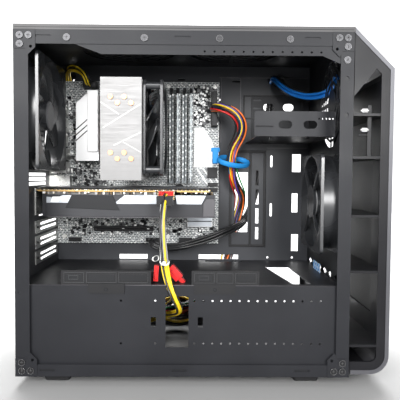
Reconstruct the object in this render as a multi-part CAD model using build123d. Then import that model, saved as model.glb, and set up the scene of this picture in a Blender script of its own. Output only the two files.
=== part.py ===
from build123d import *

import math
import os

# A desktop computer tower, seen with both side panels taken off, in millimetres.
# +X points to the front of the case, +Y to the side behind the motherboard, +Z up.
# The origin is on the floor, under the middle of the whole object.

# ---------------------------------------------------------------- driving dimensions
CASE_DEPTH = 393.0        # steel chassis, rear to front
CASE_WIDTH = 230.0        # steel chassis, side frame to side frame
CASE_HEIGHT = 410.0       # bottom pan to the top cover's top
PANEL_DEPTH = 48.0        # how far the front panel stands in front of the chassis
REAR_PROUD = 8.0          # how far ports and thumbscrews stand behind the rear wall
FOOT_HEIGHT = 12.0
SHEET = 1.0               # chassis steel
STRIP = 1.2               # side frame steel
COVER_HEIGHT = 6.0        # top cover above the steel

OVERALL = REAR_PROUD + CASE_DEPTH + PANEL_DEPTH
REAR = REAR_PROUD - OVERALL / 2
FRONT = REAR + CASE_DEPTH
NOSE = FRONT + PANEL_DEPTH
NEAR = -CASE_WIDTH / 2
FAR = CASE_WIDTH / 2
BASE = FOOT_HEIGHT
TOP = BASE + CASE_HEIGHT
ROOF = TOP - COVER_HEIGHT

# Side frame strips
TOP_RAIL = 16.3
BOTTOM_RAIL = 14.3
REAR_POST = 17.0
FRONT_POST = 15.5

# Motherboard, a 243.84 mm square with its parts facing -Y
BOARD_SIZE = 243.84
BOARD_FACE = NEAR + 198.0
BOARD_THICK = 1.6
STANDOFF = 6.5
BOARD_X0 = REAR + 2.0
BOARD_X1 = BOARD_X0 + BOARD_SIZE
BOARD_TOP = 389.8
BOARD_LOW = BOARD_TOP - BOARD_SIZE
TRAY_FACE = BOARD_FACE + BOARD_THICK + STANDOFF

# Power supply shroud
SHROUD_FACE = NEAR + 5.0
SHROUD_TOP = 119.5

# Expansion slots
SLOT_PITCH = 20.32
SLOT_COUNT = 5
SLOT_TOP_Z = 220.6
SLOT_WIDTH = 13.0
SLOT_Y0 = -20.0
SLOT_Y1 = 81.0
SLOT_SCREW_Y = SLOT_Y0 - 8.0
SLOT_END_Y = SLOT_Y0 - 13.0

# Fans
FAN_THICK = 25.0
REAR_FAN = 140.0
SMALL_FAN = 120.0
SHAFT_RADIUS = 2.0
RUNNING_GAP = 0.05

SCREW_RADIUS = 1.5
SCREW_GAP = 0.1


# ---------------------------------------------------------------- helpers
def block(x0, x1, y0, y1, z0, z1):
    """A box between two corners."""
    middle = Pos((x0 + x1) / 2, (y0 + y1) / 2, (z0 + z1) / 2)
    return middle * Box(abs(x1 - x0), abs(y1 - y0), abs(z1 - z0))


def rod(start, axis, radius, length):
    """A round bar from a start point along an axis."""
    bar = Cylinder(radius, length, align=(Align.CENTER, Align.CENTER, Align.MIN))
    return Plane(origin=start, z_dir=axis) * bar


def side_prism(points, y0, y1):
    """An outline in X and Z, made solid from y0 to y1."""
    outline = make_face(Polyline([(x, y0, z) for x, z in points], close=True))
    return extrude(outline, amount=y1 - y0, dir=(0, 1, 0))


def flat_prism(points, z0, z1):
    """An outline in X and Y, made solid from z0 to z1."""
    outline = make_face(Polyline([(x, y, z0) for x, y in points], close=True))
    return extrude(outline, amount=z1 - z0, dir=(0, 0, 1))


def rear_prism(points, x0, x1):
    """An outline in Y and Z, made solid from x0 to x1."""
    outline = make_face(Polyline([(x0, y, z) for y, z in points], close=True))
    return extrude(outline, amount=x1 - x0, dir=(1, 0, 0))


def join(pieces):
    """One solid from pieces that touch or overlap."""
    pieces = list(pieces)
    return pieces[0].fuse(*pieces[1:]) if len(pieces) > 1 else pieces[0]


def cut(body, tools):
    """The body with every tool taken away."""
    return body.cut(*list(tools))


def group(pieces):
    """Separate solids kept in one node."""
    solids = []
    for piece in pieces:
        solids.extend(piece.solids())
    return Compound(solids)


def mirrored(shape):
    """The same shape on the other side of the case."""
    return shape.mirror(Plane.XZ)


def both_sides(pieces):
    """The pieces of the near side, then their mirror images on the far side."""
    pieces = list(pieces)
    return pieces + [mirrored(piece) for piece in pieces]


def stadium(centre, axis, along, length, width, thick):
    """A slot cutter with round ends: length along one direction, cutting through thick."""
    face = SlotOverall(length, width)
    plane = Plane(origin=centre, z_dir=axis, x_dir=along)
    return extrude(plane * face, amount=thick, both=True)


def ring_slots(centre, axis, along, radii, width, thick):
    """Four curved slots on each radius, for a punched fan grille."""
    plane = Plane(origin=centre, z_dir=axis, x_dir=along)
    rib = 5.0
    cutters = []
    for radius in radii:
        ring = Circle(radius + width / 2) - Circle(radius - width / 2)
        ring -= Rectangle(3 * radius, rib)
        ring -= Rectangle(rib, 3 * radius)
        cutters.extend(extrude(plane * ring, amount=thick, both=True).solids())
    return cutters


def arc_radii(points):
    """For each corner of a route, the largest arc its two runs leave room for."""
    corners = [Vector(*point) for point in points]
    radii = []
    for before, here, after in zip(corners, corners[1:], corners[2:]):
        first = here - before
        second = after - here
        turn = math.radians(first.get_angle(second))
        radii.append(0.45 * min(first.length, second.length) / math.tan(turn / 2))
    return radii


def cable(name, points, radius):
    """A round cable along straight runs joined by tangent arcs."""
    radii = arc_radii(points)
    path = FilletPolyline(*points, radius=radii)
    start = Plane(origin=points[0], z_dir=path % 0)
    tube = sweep(start * Circle(radius), path=path)
    expected = math.pi * radius ** 2 * path.length
    print(name, "length", round(path.length, 1), "radii", [round(r, 1) for r in radii],
          "volume ratio", round(tube.volume / expected, 4))
    return tube


# ---------------------------------------------------------------- side frames and screws
CORNER_HOLE = (20.2, 19.7)
CORNER_HOLE_RADIUS = 1.7
CORNER_SCREWS = [(7.9, 7.1), (18.0, 7.1), (7.9, 17.0)]
CORNER_OUTLINE = [(0, 0), (25.5, 0), (25.5, 20.5), (17, 29), (14, 22), (0, 22)]
BRACKET = 0.8
RAIL_SCREW_X = [-155.0, -66.0, 20.5, 102.0]
RAIL_SCREW_Z = ROOF - 9.0
POST_SCREW = (FRONT - 8.0, ROOF - 32.0)


def chassis_corners():
    """Each corner of the side opening: its place and the way its bracket points."""
    return [
        (REAR, BASE, 1, 1),
        (FRONT, BASE, -1, 1),
        (REAR, ROOF, 1, -1),
        (FRONT, ROOF, -1, -1),
    ]


def side_screw_points():
    """X and Z of every screw in a side frame."""
    points = []
    for x, z, right, up in chassis_corners():
        points.extend((x + right * a, z + up * b) for a, b in CORNER_SCREWS)
    points.extend((x, RAIL_SCREW_Z) for x in RAIL_SCREW_X)
    points.append(POST_SCREW)
    return points


def side_screw_holes():
    """Cutters for the screw shanks, through both side frames."""
    reach = 12.0
    start = NEAR - 5.0
    near = [rod((x, start, z), (0, 1, 0), SCREW_RADIUS + SCREW_GAP, reach) for x, z in side_screw_points()]
    return both_sides(near)


def side_frame(holes):
    """The near side frame: two rails and two posts, seated between the corners."""
    inner = NEAR + STRIP
    low = BASE + BOTTOM_RAIL
    high = ROOF - TOP_RAIL
    top_rail = block(REAR, FRONT, NEAR, inner, high, ROOF)
    bottom_rail = block(REAR, FRONT, NEAR, inner, BASE, low)
    rear_post = block(REAR, REAR + REAR_POST, NEAR, inner, low, high)
    front_post = block(FRONT - FRONT_POST, FRONT, NEAR, inner, low, high)
    slot_length = 18.5
    slot_width = 2.6
    slots = []
    for x in (-182.0, -22.0, 128.0):
        slots.append(stadium((x, NEAR, ROOF - 7.6), (0, 1, 0), (1, 0, 0), slot_length, slot_width, 4))
    for x in (-179.0, -24.0, 121.0):
        slots.append(stadium((x, NEAR, BASE + 7.6), (0, 1, 0), (1, 0, 0), slot_length, slot_width, 4))
    for z in (ROOF - 53.0, ROOF - 95.0):
        slots.append(rod((FRONT - 8.0, NEAR - 2, z), (0, 1, 0), 2.6, 8))
    slots.append(rod((REAR + 5.5, NEAR - 2, 112.0), (0, 1, 0), 1.6, 8))
    tools = holes + slots
    return [cut(rail, tools) for rail in (top_rail, bottom_rail, rear_post, front_post)]


def panel_holes():
    """Cutters for the side panel's screw hole in each corner, on both sides."""
    reach = 10.0
    start = NEAR - 5.0
    near = []
    for x, z, right, up in chassis_corners():
        middle = (x + right * CORNER_HOLE[0], start, z + up * CORNER_HOLE[1])
        near.append(rod(middle, (0, 1, 0), CORNER_HOLE_RADIUS, reach))
    return both_sides(near)


def corner_brackets(holes):
    """The lobed plates over each corner of the near side frame."""
    plates = []
    for x, z, right, up in chassis_corners():
        outline = [(x + right * a, z + up * b) for a, b in CORNER_OUTLINE]
        plate = side_prism(outline, NEAR - BRACKET, NEAR)
        plates.append(cut(plate, holes + panel_holes()))
    return plates


def screw(x, y, z, shank):
    """A pan head screw with a cross recess, entering along +Y."""
    head_radius = 4.0
    head_height = 1.4
    head = rod((x, y - head_height, z), (0, 1, 0), head_radius, head_height)
    recess = [
        block(x - 1.9, x + 1.9, y - head_height, y - head_height + 0.7, z - 0.35, z + 0.35),
        block(x - 0.35, x + 0.35, y - head_height, y - head_height + 0.7, z - 1.9, z + 1.9),
    ]
    stem = rod((x, y, z), (0, 1, 0), SCREW_RADIUS, shank)
    return cut(join([head, stem]), recess)


def chassis_screws():
    """All the screws of the near side frame."""
    corner_count = 4 * len(CORNER_SCREWS)
    screws = []
    for index, (x, z) in enumerate(side_screw_points()):
        seat = NEAR - BRACKET if index < corner_count else NEAR
        screws.append(screw(x, seat, z, 5.0))
    return screws


# ---------------------------------------------------------------- steel chassis
INNER = NEAR + STRIP            # where the sheet flanges meet the side frame
FLANGE = INNER + SHEET
IO_Y0 = 40.5
IO_Y1 = 85.5
IO_Z0 = 231.0
IO_Z1 = 387.0
PSU_Y0 = -70.0
PSU_Y1 = 80.0
PSU_Z0 = BASE + SHEET
PSU_Z1 = PSU_Z0 + 86.0
PSU_X1 = REAR + SHEET + 140.0
REAR_FAN_Y = NEAR + 79.5
REAR_FAN_Z = 325.4
FRONT_WALL = FRONT - 9.0
FRONT_FAN_Y = NEAR + 69.0
FRONT_FAN_Z = 216.8


def slot_heights():
    """Centre heights of the expansion slot openings, top first."""
    return [SLOT_TOP_Z - SLOT_PITCH * index for index in range(SLOT_COUNT)]


def fan_screw_holes(centre_y, centre_z, spacing, x):
    """Four fan screw cutters through a wall that faces along X."""
    half = spacing / 2
    return [
        rod((x, centre_y + a * half, centre_z + b * half), (1, 0, 0), 2.2, 6)
        for a in (-1, 1) for b in (-1, 1)
    ]


def rear_wall(holes):
    """The rear wall: fan grille, port opening, slot openings and power supply opening."""
    wall = block(REAR, REAR + SHEET, INNER, -INNER, BASE, ROOF)
    flange = block(REAR + SHEET, REAR + REAR_POST - 2, INNER, FLANGE, BASE + 15, ROOF - 17)
    vent_y0 = -63.0
    vent_y1 = 22.0
    openings = [
        block(REAR - 1, REAR + 3, IO_Y0, IO_Y1, IO_Z0, IO_Z1),
        block(REAR - 1, REAR + 3, PSU_Y0 + 5, PSU_Y1 - 5, PSU_Z0 + 5, PSU_Z1 - 5),
    ]
    for z in (237.5, 243.5, 249.5):
        openings.append(block(REAR - 1, REAR + 3, vent_y0, vent_y1, z - 2.2, z + 2.2))
    for z in slot_heights():
        openings.append(block(REAR - 1, REAR + 3, SLOT_Y0 + 4, SLOT_Y1, z - SLOT_WIDTH / 2, z + SLOT_WIDTH / 2))
        openings.append(rod((REAR - 2, SLOT_SCREW_Y, z), (1, 0, 0), SCREW_RADIUS + SCREW_GAP, 6))
    grille = ring_slots((REAR, REAR_FAN_Y, REAR_FAN_Z), (1, 0, 0), (0, 1, 0), (22, 32, 42, 52, 62), 7, 4)
    fan_holes = fan_screw_holes(REAR_FAN_Y, REAR_FAN_Z, 124.5, REAR - 2)
    psu_holes = [rod((REAR - 2, y, z), (1, 0, 0), 1.8, 6) for y, z in psu_screw_points()]
    body = join([wall, flange, mirrored(flange)])
    return cut(body, openings + grille + fan_holes + psu_holes + holes)


def psu_screw_points():
    """Y and Z of the four screws that hold the power supply to the rear wall."""
    return [
        (PSU_Y0 + 2.6, PSU_Z0 + 16.0),
        (PSU_Y0 + 2.6, PSU_Z1 - 16.0),
        (PSU_Y1 - 2.6, PSU_Z0 + 16.0),
        (PSU_Y1 - 2.6, PSU_Z1 - 16.0),
    ]


HOLE_ROW_X = 3.5
HOLE_ROW_PITCH = 11.25
HOLE_ROW_COUNT = 13
TOP_VENT_X = (-95.0, 45.0)


def top_panel(holes):
    """The roof sheet, with a stepped and drilled flange behind each top rail."""
    plate = block(REAR + SHEET, FRONT_WALL, INNER, -INNER, ROOF - SHEET, ROOF)
    outline = [
        (REAR + REAR_POST - 1, ROOF - SHEET),
        (REAR + REAR_POST - 1, 400.4),
        (-148.0, 400.4),
        (-115.5, 388.6),
        (140.0, 388.6),
        (FRONT - 1, 373.8),
        (FRONT - 1, ROOF - SHEET),
    ]
    flange = side_prism(outline, INNER, FLANGE)
    flange_holes = [
        rod((HOLE_ROW_X + HOLE_ROW_PITCH * index, INNER - 2, 392.6), (0, 1, 0), 1.2, 6)
        for index in range(HOLE_ROW_COUNT)
    ]
    vents = []
    for x in TOP_VENT_X:
        vents.extend(ring_slots((x, 0, ROOF), (0, 0, 1), (1, 0, 0), (22, 34, 46, 58), 8, 4))
    body = join([plate, flange, mirrored(flange)])
    return cut(body, vents + both_sides(flange_holes) + panel_holes() + holes)


def bottom_pan(holes):
    """The floor sheet, with a low flange behind each bottom rail and a vent for the power supply."""
    plate = block(REAR + SHEET, FRONT_WALL, INNER, -INNER, BASE, BASE + SHEET)
    flange = block(REAR + SHEET, FRONT_WALL, INNER, FLANGE, BASE + SHEET, BASE + BOTTOM_RAIL - 1)
    vents = []
    for x in range(-192, -94, 12):
        vents.append(stadium((x, 5, BASE), (0, 0, 1), (0, 1, 0), 110, 6, 4))
    body = join([plate, flange, mirrored(flange)])
    return cut(body, vents + foot_holes() + holes)


def diamond_lattice():
    """Cutters for the staggered diamonds in the front wall's lower part."""
    column_pitch = 30.0
    row_pitch = 9.04
    half_wide = 11.0
    half_tall = 4.4
    cutters = []
    for row in range(7):
        for column in range(6):
            y = -84.0 + column_pitch * (column + 0.5 * (row % 2))
            z = 70.0 + row_pitch * row
            diamond = [(y - half_wide, z), (y, z - half_tall), (y + half_wide, z), (y, z + half_tall)]
            cutters.append(rear_prism(diamond, FRONT_WALL - 2, FRONT_WALL + 3))
    return cutters


def front_wall(holes):
    """The steel wall behind the front panel: three fan places, the lowest a diamond lattice."""
    wall = block(FRONT_WALL, FRONT_WALL + SHEET, FLANGE, -FLANGE, BASE, ROOF)
    flange = block(FRONT - 14, FRONT - 1, INNER, FLANGE, BASE + 15, 372.0)
    tools = fan_screw_holes(FRONT_FAN_Y, FRONT_FAN_Z, 105, FRONT_WALL - 2)
    tools.append(rod((FRONT_WALL - 2, -2, 361), (1, 0, 0), 7.0, 6))
    for y, z in ((FRONT_FAN_Y, FRONT_FAN_Z), (FRONT_FAN_Y, 342.0)):
        tools.extend(ring_slots((FRONT_WALL, y, z), (1, 0, 0), (0, 1, 0), (22, 32, 42, 52), 7, 4))
    tools.extend(diamond_lattice())
    for y in (42.0, 62.0, 82.0):
        for z in (175.0, 215.0, 255.0):
            tools.append(stadium((FRONT_WALL, y, z), (1, 0, 0), (0, 0, 1), 30, 9, 4))
    body = join([wall, flange, mirrored(flange)])
    return cut(body, tools + holes)


def motherboard_tray():
    """The upright sheet that carries the motherboard, with its cable openings."""
    back = TRAY_FACE + SHEET
    overlap = 8.0
    plate = block(REAR + SHEET, FRONT_WALL, TRAY_FACE, back, SHROUD_TOP - overlap, ROOF - SHEET)
    tools = [
        block(-170, -55, TRAY_FACE - 2, back + 2, 240, 362),
        block(54.6, 74.6, TRAY_FACE - 2, back + 2, 163, 255),
        block(95, 150, TRAY_FACE - 2, back + 2, 340, 366),
        block(0, 60.8, TRAY_FACE - 2, back + 2, 121, 128),
        block(-121.8, -78.8, TRAY_FACE - 2, back + 2, 121, 128),
        block(142.5, 155.5, TRAY_FACE - 2, back + 2, 256, 283),
        block(142.5, 151.5, TRAY_FACE - 2, back + 2, 194, 223),
        block(142.5, 153.0, TRAY_FACE - 2, back + 2, 134, 160),
        stadium((-200, TRAY_FACE, 398), (0, 1, 0), (1, 0, 0), 24, 16, 4),
        stadium((116, TRAY_FACE, 395), (0, 1, 0), (1, 0, 0), 26, 14, 4),
        stadium((-28, TRAY_FACE, 395), (0, 1, 0), (1, 0, 0), 12, 3.4, 4),
        stadium((55.4, TRAY_FACE, 393), (0, 1, 0), (1, 0, 0), 13, 3.4, 4),
        stadium((110.5, TRAY_FACE, 272), (0, 1, 0), (0, 0, 1), 18, 3.4, 4),
        stadium((110.5, TRAY_FACE, 197.5), (0, 1, 0), (0, 0, 1), 20, 3.4, 4),
    ]
    for z0, z1 in ((235, 258), (206, 229), (176.7, 199.7), (152.2, 170.6)):
        tools.append(block(86.8, 91.4, TRAY_FACE - 2, back + 2, z0, z1))
    for x, z in ((30.0, 365.0), (40.0, 348.0), (106.0, 124.0), (144.0, 124.0)):
        tools.append(rod((x, TRAY_FACE - 3, z), (0, 1, 0), 1.6, 8))
    for x, z in standoff_points():
        tools.append(rod((x, TRAY_FACE - 3, z), (0, 1, 0), SCREW_RADIUS + SCREW_GAP, 8))
    return cut(plate, tools)


WINDOW = (-40.6, -13.3, 45.6, 106.5)


def psu_shroud():
    """The cover over the power supply: an upright face and a flat top."""
    x0 = REAR + SHEET
    inside = SHROUD_FACE + SHEET
    face = block(x0, FRONT_WALL, SHROUD_FACE, inside, BASE + SHEET, SHROUD_TOP)
    top = block(x0, FRONT_WALL, inside, TRAY_FACE, SHROUD_TOP - SHEET, SHROUD_TOP)
    tools = [block(WINDOW[0], WINDOW[1], SHROUD_FACE - 2, inside + 2, WINDOW[2], WINDOW[3])]
    row_x = [-93.3, -52.8, -6.5] + [4.3 + 10.67 * index for index in range(14)]
    for z in (101.3, 50.2):
        tools.extend(rod((x, SHROUD_FACE - 2, z), (0, 1, 0), 1.3, 5) for x in row_x)
    for x in (-55.0, 0.6):
        tools.append(block(x - 3, x + 3, SHROUD_FACE - 2, inside + 2, 69.7, 81.8))
    cable_gap = [(94, 30), (112, -98), (134, -98), (128, 30)]
    tools.append(flat_prism(cable_gap, SHROUD_TOP - 4, SHROUD_TOP + 3))
    tools.append(block(10, 66, 74, 88, SHROUD_TOP - 4, SHROUD_TOP + 3))
    return cut(join([face, top]), tools)


CAGE_X0 = 66.5
CAGE_X1 = FRONT_WALL - 0.2
CAGE_Y0 = -70.0
CAGE_Z0 = 299.0
CAGE_Z1 = 330.0
CAGE_BACK_Z = 371.0


def drive_cage():
    """The drive cage: a near plate, a floor and a taller back plate on the tray."""
    near = block(CAGE_X0, CAGE_X1, CAGE_Y0, CAGE_Y0 + SHEET, CAGE_Z0, CAGE_Z1)
    near = fillet(near.edges().filter_by(Axis.Y).group_by(Axis.X)[0], 3)
    floor = block(CAGE_X0 + 4, CAGE_X1, CAGE_Y0, TRAY_FACE, CAGE_Z0, CAGE_Z0 + SHEET)
    back = block(CAGE_X0 + 12, CAGE_X1, TRAY_FACE - SHEET, TRAY_FACE, CAGE_Z0, CAGE_BACK_Z)
    tools = [stadium((79, CAGE_Y0, 311), (0, 1, 0), (1, 0, 0), 22, 2, 4)]
    for x in (105.0, 136.0):
        tools.append(stadium((x, CAGE_Y0, 313.5), (0, 1, 0), (1, 0, 0), 17, 10, 4))
    for index in range(5):
        x = 142.5 + 4.4 + 4.4 * index
        if x < CAGE_X1 - 2:
            tools.append(rod((x, CAGE_Y0 - 2, 321), (0, 1, 0), 1.2, 6))
    for x in (105.0, 135.0):
        tools.append(stadium((x, TRAY_FACE, 354), (0, 1, 0), (1, 0, 0), 16, 11, 4))
    for z in (364.5, 352.2):
        tools.append(stadium((87.5, TRAY_FACE, z), (0, 1, 0), (1, 0, 0), 12, 2.4, 4))
    for x in (90.0, 140.0):
        for y in (-40.0, 40.0):
            tools.append(stadium((x, y, CAGE_Z0), (0, 0, 1), (0, 1, 0), 14, 4, 4))
    return cut(join([near, floor, back]), tools)


FOOT_X = (-172.5, 130.0)
FOOT_LENGTH = 35.0
FOOT_WIDTH = 26.0
FOOT_Y = NEAR + 30.0


def foot_places():
    """X and Y of the middle of each foot."""
    return [(x, side * FOOT_Y) for x in FOOT_X for side in (1, -1)]


def foot_holes():
    """The holes in the floor sheet that the feet's pegs press into."""
    return [rod((x, y, BASE - 2), (0, 0, 1), 3.1, 6) for x, y in foot_places()]


def feet():
    """Four moulded feet, narrower at the floor, each with a peg through the floor sheet."""
    made = []
    for x, y in foot_places():
        upper = Pos(x, y, BASE) * Rectangle(FOOT_LENGTH, FOOT_WIDTH)
        lower = Pos(x, y, 0) * Rectangle(FOOT_LENGTH - 6, FOOT_WIDTH - 6)
        pad = loft([lower, upper])
        pad = fillet(pad.edges().filter_by(lambda e: abs(e.tangent_at(0).Z) > 0.5), 4)
        peg = rod((x, y, BASE), (0, 0, 1), 3.0, 3.0)
        made.append(join([pad, peg]))
    return made


FILTER_X = 150.0
FILTER_Y = 80.0
FILTER_THICK = 1.5
FILTER_GAP = 0.4


def top_cover():
    """The shallow cover over the roof, with a pocket for the dust filter."""
    x1 = FRONT + 1
    wall = 1.5
    shell = block(REAR, x1, NEAR, FAR, ROOF, TOP)
    hollow = block(REAR + wall, x1 - wall, NEAR + wall, FAR - wall, ROOF - 1, TOP - 2.5)
    pocket = block(-FILTER_X, FILTER_X, -FILTER_Y, FILTER_Y, TOP - FILTER_THICK, TOP + 1)
    slots = []
    for x in range(-136, 137, 16):
        slots.append(stadium((x, 0, TOP - 2), (0, 0, 1), (0, 1, 0), 140, 9, 4))
    return cut(shell, [hollow, pocket] + slots)


def top_filter():
    """The lift-off dust filter: a thin frame round a flat mesh sheet."""
    x = FILTER_X - FILTER_GAP
    y = FILTER_Y - FILTER_GAP
    frame = block(-x, x, -y, y, TOP - FILTER_THICK, TOP)
    recess = block(-x + 6, x - 6, -y + 6, y - 6, TOP - 0.7, TOP + 1)
    return cut(frame, [recess])


# ---------------------------------------------------------------- front panel
PANEL_LOW = 15.0
CHAMFER_SUM = 600.0       # X plus Z along the chamfer's face
PANEL_CORNER = 22.0
SKIN = 4.7
RIM = 10.0
PANEL_HALF = 113.0
PANEL_BACK = FRONT + 1.5
PANEL_ROOF = TOP - 0.5


def panel_face(inset, y):
    """The front panel's side outline, drawn in by an inset from its outer faces."""
    corner = CHAMFER_SUM - inset * math.sqrt(2)
    front = NOSE - inset
    low = PANEL_LOW + inset
    high = min(PANEL_ROOF, corner - PANEL_BACK)
    radius = PANEL_CORNER - inset
    points = [(PANEL_BACK, low), (PANEL_BACK, high)]
    if high == PANEL_ROOF:
        points.append((corner - high, high))
    points.append((front, corner - front))
    lines = Polyline([(x, y, z) for x, z in points])
    down = Line((front, y, corner - front), (front, y, low + radius))
    bend = Line((front - radius, y, low), (PANEL_BACK, y, low))
    middle = (front - radius * (1 - math.sqrt(0.5)), y, low + radius * (1 - math.sqrt(0.5)))
    arc = ThreePointArc((front, y, low + radius), middle, (front - radius, y, low))
    return make_face([lines, down, arc, bend])


def panel_band(outer, inner, y0, y1):
    """The panel's outline between two insets, made solid from y0 to y1."""
    whole = extrude(panel_face(outer, y0), amount=y1 - y0, dir=(0, 1, 0))
    core = extrude(panel_face(inner, y0 - 1), amount=y1 - y0 + 2, dir=(0, 1, 0))
    return whole.cut(core)


PORT_Y = 64.0
PORT_HALF = 15.0
PORT_MIDDLE = Vector(200.5, 0, CHAMFER_SUM - 200.5)
CHAMFER_NORMAL = Vector(1, 0, 1).normalized()
CHAMFER_DOWN = Vector(1, 0, -1).normalized()


def chamfer_plane(y, below):
    """A plane on the chamfer, X across the case and Z outwards, some way below its face."""
    origin = PORT_MIDDLE - CHAMFER_NORMAL * below + Vector(0, y, 0)
    return Plane(origin=origin, x_dir=(0, 1, 0), z_dir=CHAMFER_NORMAL)


def port_recess():
    """The opening in the cover and frame that the port block sits in."""
    return chamfer_plane(0, 20) * Box(2 * PORT_Y + 1, 2 * PORT_HALF + 1, 44)


def front_trim():
    """The pale outer cover: chamfer, front face and bottom corner in one band."""
    band = panel_band(0, SKIN, -PANEL_HALF, PANEL_HALF)
    opening = block(NOSE - 10, NOSE + 5, -70, 70, 70, 340)
    back = block(PANEL_BACK - 1, PANEL_BACK + 1.0, -120, 120, PANEL_LOW - 2, 200)
    return cut(band, [port_recess(), opening, back])


def front_fascia():
    """The dark insert that fills the front face's opening, with intake slots."""
    plate = block(NOSE - SKIN, NOSE - 1.0, -69.5, 69.5, 70.5, 339.5)
    slots = []
    for z in range(90, 330, 12):
        slots.append(stadium((NOSE - 3, 0, z), (1, 0, 0), (0, 1, 0), 120, 5, 5))
    return cut(plate, slots)


RIB_HEIGHTS = (48.5, 137.0, 203.0, 272.0, 322.0)


def front_panel_frame():
    """The black moulded frame: two open cheeks, top gussets and cross ribs."""
    thick = 4.0
    edge = PANEL_HALF - 1.0
    cheek = panel_band(SKIN, SKIN + RIM, -edge, -edge + thick)
    gusset = side_prism([(PANEL_BACK, 343), (PANEL_BACK, 412), (209, 382)], -edge, -edge + thick)
    web = block(NOSE - SKIN - 2.5, NOSE - SKIN, -edge + thick, edge - thick, 40, 366)
    web = cut(web, [block(NOSE - 12, NOSE, -62, 62, 78, 332)])
    ribs = [block(PANEL_BACK, NOSE - SKIN - 1, -edge + 1, edge - 1, z - 1.5, z + 1.5) for z in RIB_HEIGHTS]
    sill = block(PANEL_BACK, NOSE - PANEL_CORNER, -edge + 1, edge - 1, PANEL_LOW + SKIN, PANEL_LOW + SKIN + 3)
    body = join([cheek, gusset, mirrored(cheek), mirrored(gusset), web, sill] + ribs)
    return cut(body, [port_recess()])


BUTTON_CLEAR = 0.3
PORT_DEEP = 14.0          # the port block, below the chamfer's face
PLUG_Y = -8.0
PLUG_GAP = 0.3
PLUG_LONG = 8.0
POWER_Y = -44.0
RESET_Y = -22.0


def front_ports():
    """The port block in the chamfer, with sockets and the two button wells."""
    body = chamfer_plane(0, PORT_DEEP / 2) * Box(2 * PORT_Y, 2 * PORT_HALF, PORT_DEEP)
    wells = [
        chamfer_plane(POWER_Y, 3) * Cylinder(8 + BUTTON_CLEAR, 14),
        chamfer_plane(RESET_Y, 3) * Cylinder(3.5 + BUTTON_CLEAR, 14),
    ]
    sockets = [chamfer_plane(y, 0) * Box(13.4, 6.0, 16) for y in (6.0, 26.0)]
    jacks = [chamfer_plane(y, 0) * Cylinder(2.4, 16) for y in (42.0, 54.0)]
    return cut(body, wells + sockets + jacks)


def button(y, radius):
    """A round push button, standing just above the chamfer, with room below it to travel."""
    cap = chamfer_plane(y, 1.6) * Cylinder(radius, 4.8)
    return cap


# ---------------------------------------------------------------- fans
def fan_frame(size, spacing):
    """A case fan's frame about the Z axis, outlet and struts at z = 0."""
    bore = size / 2 - 2.0
    flange = 3.5
    corner = 6.0
    plate = extrude(RectangleRounded(size, size, corner), amount=flange)
    wall = Cylinder(bore + 1.8, FAN_THICK, align=(Align.CENTER, Align.CENTER, Align.MIN))
    body = join([plate, Pos(0, 0, FAN_THICK - flange) * plate, wall])
    half = spacing / 2
    tools = [Pos(0, 0, -1) * Cylinder(bore, FAN_THICK + 2, align=(Align.CENTER, Align.CENTER, Align.MIN))]
    for x in (-half, half):
        for y in (-half, half):
            tools.append(Pos(x, y, -1) * Cylinder(2.15, FAN_THICK + 2, align=(Align.CENTER, Align.CENTER, Align.MIN)))
    body = cut(body, tools)
    hub = Cylinder(21, 3, align=(Align.CENTER, Align.CENTER, Align.MIN))
    shaft = Cylinder(SHAFT_RADIUS, 16, align=(Align.CENTER, Align.CENTER, Align.MIN))
    struts = [Rot(0, 0, 45 + 90 * k) * (Pos(bore / 2 + 8, 0, 1.5) * Box(bore - 14, 4, 3)) for k in range(4)]
    return join([body, hub, shaft] + struts)


def fan_rotor(radius, hub, depth, blades, pitch=32.0):
    """A hub with raked blades about the Z axis, from z = 0, bored for the shaft."""
    core = Cylinder(hub, depth, align=(Align.CENTER, Align.CENTER, Align.MIN))
    swept = Cylinder(radius, depth - 1, align=(Align.CENTER, Align.CENTER, Align.MIN))
    pieces = [core]
    chord = depth / math.sin(math.radians(pitch)) + 6
    for index in range(blades):
        blade = Pos(radius / 2, 0, depth / 2) * (Rot(pitch, 0, 0) * Box(radius, chord, 1.6))
        pieces.extend((swept & (Rot(0, 0, 360 / blades * index) * blade)).solids())
    return cut(join(pieces), [rotor_bore(depth)])


def rotor_bore(depth):
    """A blind hole for the shaft, closed at the inlet side."""
    hole = SHAFT_RADIUS + RUNNING_GAP
    return Pos(0, 0, -1) * Cylinder(hole, depth - 1.5, align=(Align.CENTER, Align.CENTER, Align.MIN))


ROTOR_START = 3.6
ROTOR_DEPTH = 18.0


def x_plane(x, y, z):
    """A plane whose Z axis runs along the case's X axis."""
    return Plane(origin=(x, y, z), x_dir=(0, 1, 0), z_dir=(1, 0, 0))


COOLER_X0 = -123.0
COOLER_X1 = -72.6
COOLER_NEAR = NEAR + 37.3
COOLER_Z0 = 243.0
COOLER_Z1 = 369.0
CPU_FAN_Y = NEAR + 108.0
CPU_FAN_Z = 309.0
CPU_FAN_X = COOLER_X1 + 0.4

FAN_PLACES = {
    "rear_fan": (REAR + SHEET, REAR_FAN_Y, REAR_FAN_Z, REAR_FAN, 124.5, 7),
    "front_fan": (FRONT_WALL - FAN_THICK, FRONT_FAN_Y, FRONT_FAN_Z, SMALL_FAN, 105.0, 7),
    "cpu_fan": (CPU_FAN_X, CPU_FAN_Y, CPU_FAN_Z, SMALL_FAN, 105.0, 9),
}


def case_fans():
    """The three upright fans, a frame and a rotor each."""
    made = {}
    for name, (x, y, z, size, spacing, blades) in FAN_PLACES.items():
        rotor = fan_rotor(size / 2 - 3.5, 19.0, ROTOR_DEPTH, blades)
        made[name + "_frame"] = x_plane(x, y, z) * fan_frame(size, spacing)
        made[name + "_rotor"] = x_plane(x + ROTOR_START, y, z) * rotor
    return made


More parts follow.
